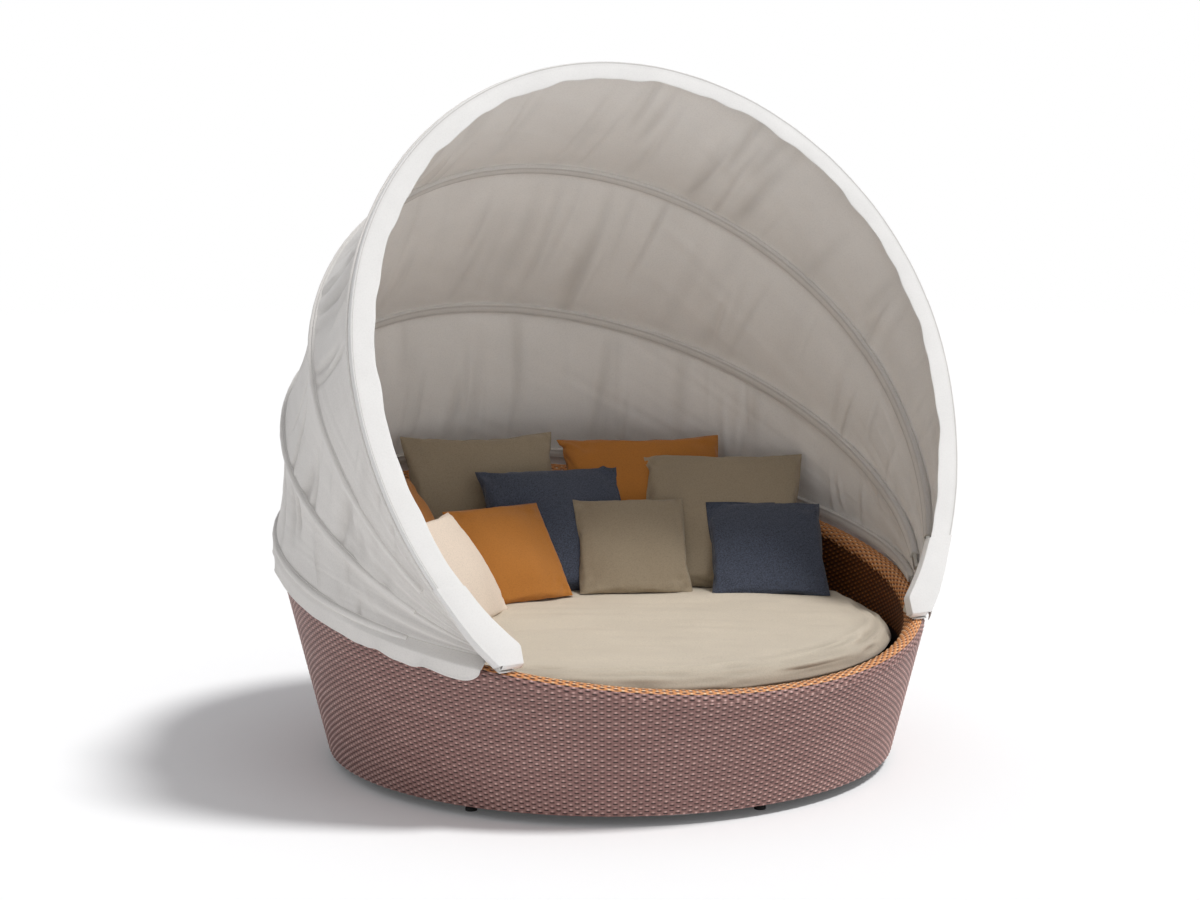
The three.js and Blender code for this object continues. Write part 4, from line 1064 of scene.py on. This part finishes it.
def woven_cloth(name, colour, contrast, mapped="UV", melange=0.0, crease=0.0):
    """Plain-woven outdoor cloth.
    To the eye: matt, faintly cross-ribbed and slubbed, a little cloudy over a hand's width, darker
    where its crease attribute is set: painted shade, save a thin line along the band. Real threads are
    0.6 mm wide; they are drawn at 1.7 mm, and the slubs at 4 mm, so that they show."""
    material, tree, shader = new_material(name)
    place = add(tree, "TexCoord")
    spot = place.outputs["Object"]
    warp, weft = (add(tree, "TexWave", {"Vector": place.outputs[mapped], "Scale": bands(1.7),
                                        "Distortion": 0.6}, bands_direction=way).outputs["Fac"]
                  for way in "XY")
    threads = add(tree, "Math", {0: warp, 1: weft}, operation="ADD")
    slub = add(tree, "TexNoise", {"Vector": spot, "Scale": cells(4), "Detail": 3.0,
                                  "Roughness": 0.65}).outputs[0]
    dyed = add(tree, "ValToRGB", {0: slub}, [(0.3, tinted(colour, 1 - 2 * contrast)), (0.5, colour),
                                             (0.72, tinted(colour, 1 + contrast))])
    if melange:
        # Pale and dark fibres spun together: 0.1 mm in the yarn, drawn as 4 mm flecks
        fibre = add(tree, "TexNoise", {"Vector": spot, "Scale": cells(4), "Detail": 5.0,
                                       "Roughness": 0.85}).outputs[0]
        flecks = add(tree, "ValToRGB", {0: fibre},
                     [(0.36, linear("3a3d45")), (0.64, linear("d4d8e2"))])
        dyed = add(tree, "Mix", {0: melange, 6: dyed, 7: flecks}, data_type="RGBA",
                   blend_type="OVERLAY")
    broad = add(tree, "TexNoise", {"Vector": spot, "Scale": cells(140), "Detail": 2.0}).outputs[0]
    cloud = add(tree, "ValToRGB", {0: broad}, [(0.3, grey(0.63)), (0.7, grey(1))])
    wash = add(tree, "Mix", {0: 0.12, 6: dyed, 7: cloud}, data_type="RGBA", blend_type="MULTIPLY")
    # Painted shade from the crease attribute: folds, seams, shaded faces and the mattress edge
    folded = add(tree, "Attribute", attribute_name="crease").outputs["Fac"]
    dusk = add(tree, "ValToRGB", {0: folded}, [(0, grey(1)), (1, linear("9a948e"))])
    wear_and_shade = add(tree, "Mix", {0: crease, 6: wash, 7: dusk}, data_type="RGBA", blend_type="MULTIPLY")
    height = add(tree, "Math", {0: threads, 1: slub}, operation="ADD")
    bump = add(tree, "Bump", {"Height": height, "Strength": 0.22, "Distance": 0.0005})
    feed(tree, shader, {"Base Color": wear_and_shade, "Normal": bump, "Roughness": 0.9,
                        "Sheen Weight": 0.15, "Sheen Roughness": 0.5})
    return material


def coated_metal(name, colour, metallic, roughness):
    """Metal tube or plate, bare or powder-coated.
    To the eye: satin, with a grain and cloudiness 6 mm wide that breaks its highlights."""
    material, tree, shader = new_material(name)
    place = add(tree, "TexCoord")
    speck = add(tree, "TexNoise", {"Vector": place.outputs["Object"], "Scale": cells(6),
                                   "Detail": 4.0}).outputs[0]
    level = add(tree, "MapRange", {"Value": speck, "To Min": roughness - 0.08,
                                   "To Max": roughness + 0.1})
    cloud = add(tree, "ValToRGB", {0: speck},
                [(0.2, tinted(colour, 0.86)), (0.8, tinted(colour, 1.08))])
    bump = add(tree, "Bump", {"Height": speck, "Strength": 0.12, "Distance": 0.0003})
    feed(tree, shader, {"Base Color": cloud, "Roughness": level, "Normal": bump,
                        "Metallic": metallic})
    return material


def sawn_board(name, dark, light):
    """Oiled softwood boards.
    To the eye: long streaks of grain along X, about 14 mm apart and 400 mm long, in two browns."""
    material, tree, shader = new_material(name)
    place = add(tree, "TexCoord")
    stretch = add(tree, "Mapping", {"Vector": place.outputs["Object"],
                                    "Scale": (cells(400), cells(14), cells(14))})
    grain = add(tree, "TexNoise", {"Vector": stretch, "Scale": 1.0, "Detail": 6.0,
                                   "Distortion": 0.5}).outputs[0]
    rings = add(tree, "ValToRGB", {0: grain}, [(0.35, dark), (0.65, light)])
    bump = add(tree, "Bump", {"Height": grain, "Strength": 0.3, "Distance": 0.0008})
    feed(tree, shader, {"Base Color": rings, "Normal": bump, "Roughness": 0.65})
    return material


def moulded_rubber(name, colour):
    """Moulded rubber foot.
    To the eye: dull black with a faint pebble 1.5 mm across."""
    material, tree, shader = new_material(name)
    place = add(tree, "TexCoord")
    pebble = add(tree, "TexVoronoi", {"Vector": place.outputs["Object"],
                                      "Scale": cells(1.5)}).outputs["Distance"]
    wear_and_shade = add(tree, "ValToRGB", {0: pebble}, [(0, colour), (1, tinted(colour, 2.4))])
    bump = add(tree, "Bump", {"Height": pebble, "Strength": 0.2, "Distance": 0.0003})
    feed(tree, shader, {"Base Color": wear_and_shade, "Normal": bump, "Roughness": 0.75})
    return material


# Settings

def length_setting(name, description, default, top):
    """A length that a user can change, in metres."""
    return bpy.props.FloatProperty(name=name, description=description, default=default, min=0,
                                   max=top, unit="LENGTH", precision=4)


def colour_setting(name, description, code):
    """A colour that a user can change, given as an sRGB hex colour."""
    return bpy.props.FloatVectorProperty(name=name, description=description, default=linear(code),
                                         size=3, min=0, max=1, subtype="COLOR")


class DaybedWeave(bpy.types.PropertyGroup):
    """Sizes of the woven strands"""
    strand_bow: length_setting("Strand bow", "How far a strand bows out over a stake",
                               0.0015, 0.004)
    strand_ridge: length_setting("Strand ridge", "How far a strand's round section stands out",
                                 0.0019, 0.004)


class DaybedCloth(bpy.types.PropertyGroup):
    """Sizes of folds, hems and padding"""
    fold_depth: length_setting("Fold depth", "Depth of the gathered folds in the canopy",
                               0.014, 0.03)
    ripple_depth: length_setting("Ripple depth", "Depth of the soft ripples in the canopy",
                                 0.0024, 0.01)
    sleeve_width: length_setting("Sleeve width", "Width of the pocket round each hoop", 0.027, 0.05)
    mattress_slack: length_setting("Mattress slack", "Depth of the creases in the mattress cover",
                                   0.013, 0.03)
    fold_slant: bpy.props.FloatProperty(name="Fold slant", default=0.02,
                                        description="Slant of the gathered folds")
    hem_wave: bpy.props.FloatProperty(name="Hem wave", description="How wavy the hems are",
                                      default=0.85, min=0)
    pillow_pressure: bpy.props.FloatProperty(name="Pillow pressure", default=1.35, min=0,
                                             description="Air pressure that fills a pillow")
    pillow_cap: length_setting("Pillow cap", "How far the filling may push a pillow's cover",
                               0.035, 0.05)


class DaybedColours(bpy.types.PropertyGroup):
    """Colours of the finishes"""
    weave: colour_setting("Outer weave", "Strands of the outer face", "9c766f")
    rim: colour_setting("Rim", "Strands over the rim", "e49c5c")
    # Dark brown: the rim's amber with painted shade of the inner face
    lining: colour_setting("Lining", "Strands of the inner face", "5c3012")
    canopy: colour_setting("Canopy", "Canopy cloth", "ede9e4")
    band: colour_setting("Band", "Front band and its cuffs", "efedea")
    mattress: colour_setting("Mattress", "Mattress cover", "d0c4b1")
    taupe: colour_setting("Taupe", "Taupe pillows", "9b8c75")
    orange: colour_setting("Orange", "Orange pillows", "b06f25")
    blue: colour_setting("Blue", "Blue pillows", "464c5a")
    beige: colour_setting("Beige", "Beige pillow", "e3d2c0")


# Operators

class DAYBED_OT_basket(bpy.types.Operator):
    """Weaves the basket: outer face, rim, inner face and the thin backing behind them"""
    bl_idname = "daybed.basket"
    bl_label = "Woven basket"

    def execute(self, context):
        weave, colours = context.scene.daybed_weave, context.scene.daybed_colours
        strand = woven_strand("Woven two-colour plastic strand, mauve brown", linear("2c1411"),
                              colours.weave, linear("eac2b8"))
        for sector in range(3):
            finish(outer_weave(weave, sector, 3), strand, "basket", ("wicker_outer",))
        finish(rim_weave(weave, "rim_weave_outer", 0, FACING_ROWS), strand, "basket",
               ("wicker_rim",))
        amber = woven_strand("Woven two-colour plastic strand, amber", linear("5a270c"),
                             colours.rim, linear("ffe3bd"))
        finish(rim_weave(weave, "rim_weave_top", FACING_ROWS, RIM_ROWS), amber, "basket",
               ("wicker_rim",))
        # The inner face: the rim's amber strand darkened to brown, painted shade of the inside of the wall
        brown = woven_strand("Woven two-colour plastic strand, brown", linear("240f05"),
                             colours.lining, linear("c4833c"))
        finish(inner_weave(weave), brown, "basket", ("wicker_inner",))
        # Behind the strands: a dark brown sheet, painted shade, so that the gaps between them look deep
        backing = coated_metal("Powder-coated aluminium backing, dark brown", linear("33211f"),
                               0.0, 0.6)
        finish(basket_core(), backing, "basket")
        return {"FINISHED"}


class DAYBED_OT_frame(bpy.types.Operator):
    """Finishes the metal frame, the deck, the feet and the canopy hardware"""
    bl_idname = "daybed.frame"
    bl_label = "Frame and hardware"

    def execute(self, context):
        finishes = {
            # Seen only under the basket: nearly black, satin
            "dark_frame": coated_metal("Powder-coated aluminium, dark brown", linear("3c3532"),
                                       0.35, 0.5),
            # Seen where the pockets end, at the pins: pale, softly shining tube
            "hoop_tube": coated_metal("Mill-finish aluminium tube", linear("b9b7b2"), 0.9, 0.38),
            # Pins and nuts: grey glints
            "steel": coated_metal("Zinc-plated steel", linear("b4b4b1"), 0.85, 0.42),
            # The plates on the rim: as pale as the cuffs over them
            "bracket": coated_metal("Powder-coated aluminium, off-white", linear("e2e0dc"),
                                    0.0, 0.5),
            # Under the mattress: warm brown boards
            "deck_wood": sawn_board("Oiled sawn pine boards", linear("80603e"), linear("a9855c")),
            # Under the base: dull black
            "black_foot": moulded_rubber("Moulded black rubber", linear("151414")),
        }
        for part in frame["record"]["subparts"]:
            bracket = part["node"].startswith("bracket")
            slot = "bracket" if bracket else part["material_slot"]
            if slot in finishes:
                finish(frame["nodes"][part["node"]], finishes[slot])
        return {"FINISHED"}


class DAYBED_OT_mattress(bpy.types.Operator):
    """Makes the round mattress with its slack cover"""
    bl_idname = "daybed.mattress"
    bl_label = "Mattress"

    def execute(self, context):
        cloth = woven_cloth("Woven acrylic mattress cover", context.scene.daybed_colours.mattress,
                            0.06, crease=0.45)
        piece = finish(mattress(context.scene.daybed_cloth), cloth, "basket",
                       ("mattress",))
        return {"FINISHED"}


class DAYBED_OT_pillows(bpy.types.Operator):
    """Stuffs the nine pillows and settles them on the mattress, each against the ones behind it"""
    bl_idname = "daybed.pillows"
    bl_label = "Pillows"

    def execute(self, context):
        settings, colours = context.scene.daybed_cloth, context.scene.daybed_colours
        cloths = {
            "taupe_cloth": woven_cloth("Woven olefin, taupe", colours.taupe, 0.08, "Object"),
            "orange_cloth": woven_cloth("Woven olefin, burnt orange", colours.orange, 0.06,
                                        "Object"),
            "blue_cloth": woven_cloth("Melange woven olefin, slate blue", colours.blue, 0.12,
                                      "Object", melange=0.6),
            "beige_cloth": woven_cloth("Woven olefin, beige", colours.beige, 0.06, "Object"),
        }
        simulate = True
        start = PILLOW_START if simulate else 1
        pieces = [pillow_mesh(name.replace("pillow", "pillow_cover"), row[2], row[3] * start)
                  for name, row in PILLOWS.items()]
        shapes = (stuff_pillows(pieces, settings) if simulate
                  else [points_of(piece.data) for piece in pieces])
        placed = []
        for i, (name, row) in enumerate(PILLOWS.items()):
            x, y, size, thickness, turn, lean, slot = row
            piece, local = pieces[i], shapes[i]
            local *= np.array([size, size, thickness]) / np.ptp(local, axis=0)
            local[:, 2] += seam_puckers(local, size, i)
            axes, origin = pillow_frame(x, y, size, turn, lean)
            points = settle_pillow(local @ axes + origin, placed)
            count = PILLOW_CELLS + 1
            front = local[:count * count, 2].reshape(count, count)
            placed.append((axes, origin, size, front))
            piece.data.vertices.foreach_set("co", (points * MM).astype(np.float32).ravel())
            piece.data.update()
            smooth = piece.modifiers.new("Soft surface", "SUBSURF")
            smooth.levels = smooth.render_levels = 1
            finish(piece, cloths[slot], "basket", (name,))
        return {"FINISHED"}


class DAYBED_OT_canopy(bpy.types.Operator):
    """Hangs the canopy cloth between the hoops, with skirt, hoop pockets, front band and cuffs"""
    bl_idname = "daybed.canopy"
    bl_label = "Canopy"

    def execute(self, context):
        settings, colours = context.scene.daybed_cloth, context.scene.daybed_colours
        canvas = woven_cloth("Acrylic canvas, pale grey", colours.canopy, 0.03, crease=0.45)
        white = woven_cloth("Acrylic canvas, white", colours.band, 0.02, crease=0.5)
        bodies = ("bow_front", "bow_mid", "bow_back", "basket")
        pockets = [finish(hoop_sleeve(settings, index, f"hoop_pocket_{HOOPS[index].name}"), canvas,
                          bodies[index]) for index in (1, 2, 3)]
        trim = [finish(front_band(settings), white, "bow_front", ("front_band",)),
                finish(edge_cord(), canvas, "bow_front")]
        trim += [finish(cuff(side), white, "bow_front", (side_name("cuff", side),))
                 for side in (-1, 1)]
        trim += [finish(cuff_lip(side), white, "bow_front") for side in (-1, 1)]
        # Each length's flat area in square metres, and the trim that belongs to it
        lengths = {"front": (1.5, trim), "middle": (1.6, pockets[:1]), "back": (1.6, pockets[1:2])}
        for index, (name, (area, going)) in enumerate(lengths.items()):
            piece, weights = canopy_panel(settings, index, f"canopy_cloth_{name}")
            finish(piece, canvas, stands_for=(f"panel_{name}",))
            blend_by(piece, bodies[index + 1], bodies[index], weights)
        skirt = finish(skirt_sheet(settings), canvas, "basket", ("skirt",))
        return {"FINISHED"}


class DAYBED_OT_stage(bpy.types.Operator):
    """Sets the camera, the pale floor and the soft light"""
    bl_idname = "daybed.stage"
    bl_label = "Stage"

    def execute(self, context):
        azimuth, elevation = np.radians(AZIMUTH), np.radians(ELEVATION)
        back = np.array([np.sin(azimuth) * np.cos(elevation), -np.cos(azimuth) * np.cos(elevation),
                         np.sin(elevation)])
        right = np.array([np.cos(azimuth), np.sin(azimuth), 0])
        place = np.array([0, 0, AIM_HEIGHT]) + right * AIM_RIGHT + back * DISTANCE
        camera = bpy.data.objects.new("Camera", bpy.data.cameras.new("Camera"))
        camera.data.lens = LENS
        camera.data.clip_end = 60
        axes = np.column_stack([right, np.cross(back, right), back, place])
        camera.matrix_world = Matrix(np.vstack([axes, [0, 0, 0, 1]]).tolist())
        context.scene.collection.objects.link(camera)
        context.scene.camera = camera
        self.make_floor()
        self.make_light(context.scene)
        context.scene.view_settings.view_transform = "Standard"
        return {"FINISHED"}

    def make_floor(self):
        """Floor: a round sheet, matt white near the daybed, that fades to plain white far off."""
        angle = angles_round("floor")
        radius = (np.linspace(0.001, 1, 60) ** 1.6 * FLOOR_RADIUS)[None, :]
        points = np.stack([radius * np.sin(angle), -radius * np.cos(angle), 0 * radius + 0 * angle],
                          -1)
        floor = surface("floor", points, wrap_u=True)
        material, tree, shader = new_material("Matt white floor")
        camera_ray = add(tree, "LightPath").outputs["Is Camera Ray"]
        glow = add(tree, "Math", {0: camera_ray, 1: 0.05}, operation="MULTIPLY")
        feed(tree, shader, {"Base Color": (*linear("fbfbfb"), 1), "Roughness": 0.9,
                            "Emission Color": (1, 1, 1, 1), "Emission Strength": glow})
        place = add(tree, "TexCoord")
        far = add(tree, "VectorMath", {0: place.outputs["Object"]}, operation="LENGTH")
        fade = add(tree, "MapRange", {"Value": far.outputs["Value"], "From Min": FLOOR_FADE[0],
                                      "From Max": FLOOR_FADE[1]}, interpolation_type="SMOOTHSTEP")
        seen = add(tree, "Math", {0: fade.outputs[0], 1: camera_ray}, operation="MULTIPLY")
        plain = add(tree, "Emission", {"Strength": 1.02})
        mix = add(tree, "MixShader", {0: seen, 1: shader, 2: plain})
        feed(tree, tree.nodes["Material Output"], {"Surface": mix})
        floor.data.materials.append(material)

    def make_light(self, scene):
        """Soft sun from the right front, 64 degrees up, a weak low fill from the front, and an even
        pale sky that is plain white where it is seen."""
        for name, (strength, spread, tip, heading) in SUNS.items():
            lamp = bpy.data.objects.new(name, bpy.data.lights.new(name, "SUN"))
            lamp.data.energy = strength
            lamp.data.angle = np.radians(spread)
            lamp.rotation_euler = (np.radians(tip), 0, np.radians(heading))
            scene.collection.objects.link(lamp)
        world = bpy.data.worlds.new("Studio")
        scene.world = world
        world.use_nodes = True
        tree = world.node_tree
        sky = tree.nodes["Background"]
        feed(tree, sky, {"Color": (*linear("fafbff"), 1), "Strength": SKY_STRENGTH})
        white = add(tree, "Background", {"Color": (1, 1, 1, 1)})
        ray = add(tree, "LightPath").outputs
        first = add(tree, "Math", {0: ray["Is Camera Ray"], 1: ray["Is Glossy Ray"]},
                    operation="MAXIMUM")
        seen = add(tree, "Math", {0: first, 1: ray["Is Transmission Ray"]}, operation="MAXIMUM")
        mix = add(tree, "MixShader", {0: seen, 1: sky, 2: white})
        feed(tree, tree.nodes["World Output"], {"Surface": mix})


class DAYBED_PT_panel(bpy.types.Panel):
    """Lists the settings and the steps"""
    bl_idname = "DAYBED_PT_panel"
    bl_label = "Round canopy daybed"
    bl_space_type = "VIEW_3D"
    bl_region_type = "UI"
    bl_category = "Daybed"

    def draw(self, context):
        for name in GROUPS:
            group = getattr(context.scene, name)
            for key in group.__annotations__:
                self.layout.prop(group, key)
        for step in STEPS:
            self.layout.operator(step.bl_idname)


STEPS = (DAYBED_OT_basket, DAYBED_OT_frame, DAYBED_OT_mattress, DAYBED_OT_pillows,
         DAYBED_OT_canopy, DAYBED_OT_stage)
GROUPS = {"daybed_weave": DaybedWeave, "daybed_cloth": DaybedCloth, "daybed_colours": DaybedColours}


def register():
    for item in (*GROUPS.values(), *STEPS, DAYBED_PT_panel):
        bpy.utils.register_class(item)
    for key, group in GROUPS.items():
        setattr(bpy.types.Scene, key, bpy.props.PointerProperty(type=group))


def unregister():
    for key in GROUPS:
        delattr(bpy.types.Scene, key)
    for item in (DAYBED_PT_panel, *STEPS[::-1], *GROUPS.values()):
        bpy.utils.unregister_class(item)


def main():
    register()
    bpy.ops.daybed.basket()
    bpy.ops.daybed.frame()
    bpy.ops.daybed.mattress()
    bpy.ops.daybed.pillows()
    bpy.ops.daybed.canopy()
    bpy.ops.daybed.stage()


if __name__ == "__main__":
    main()
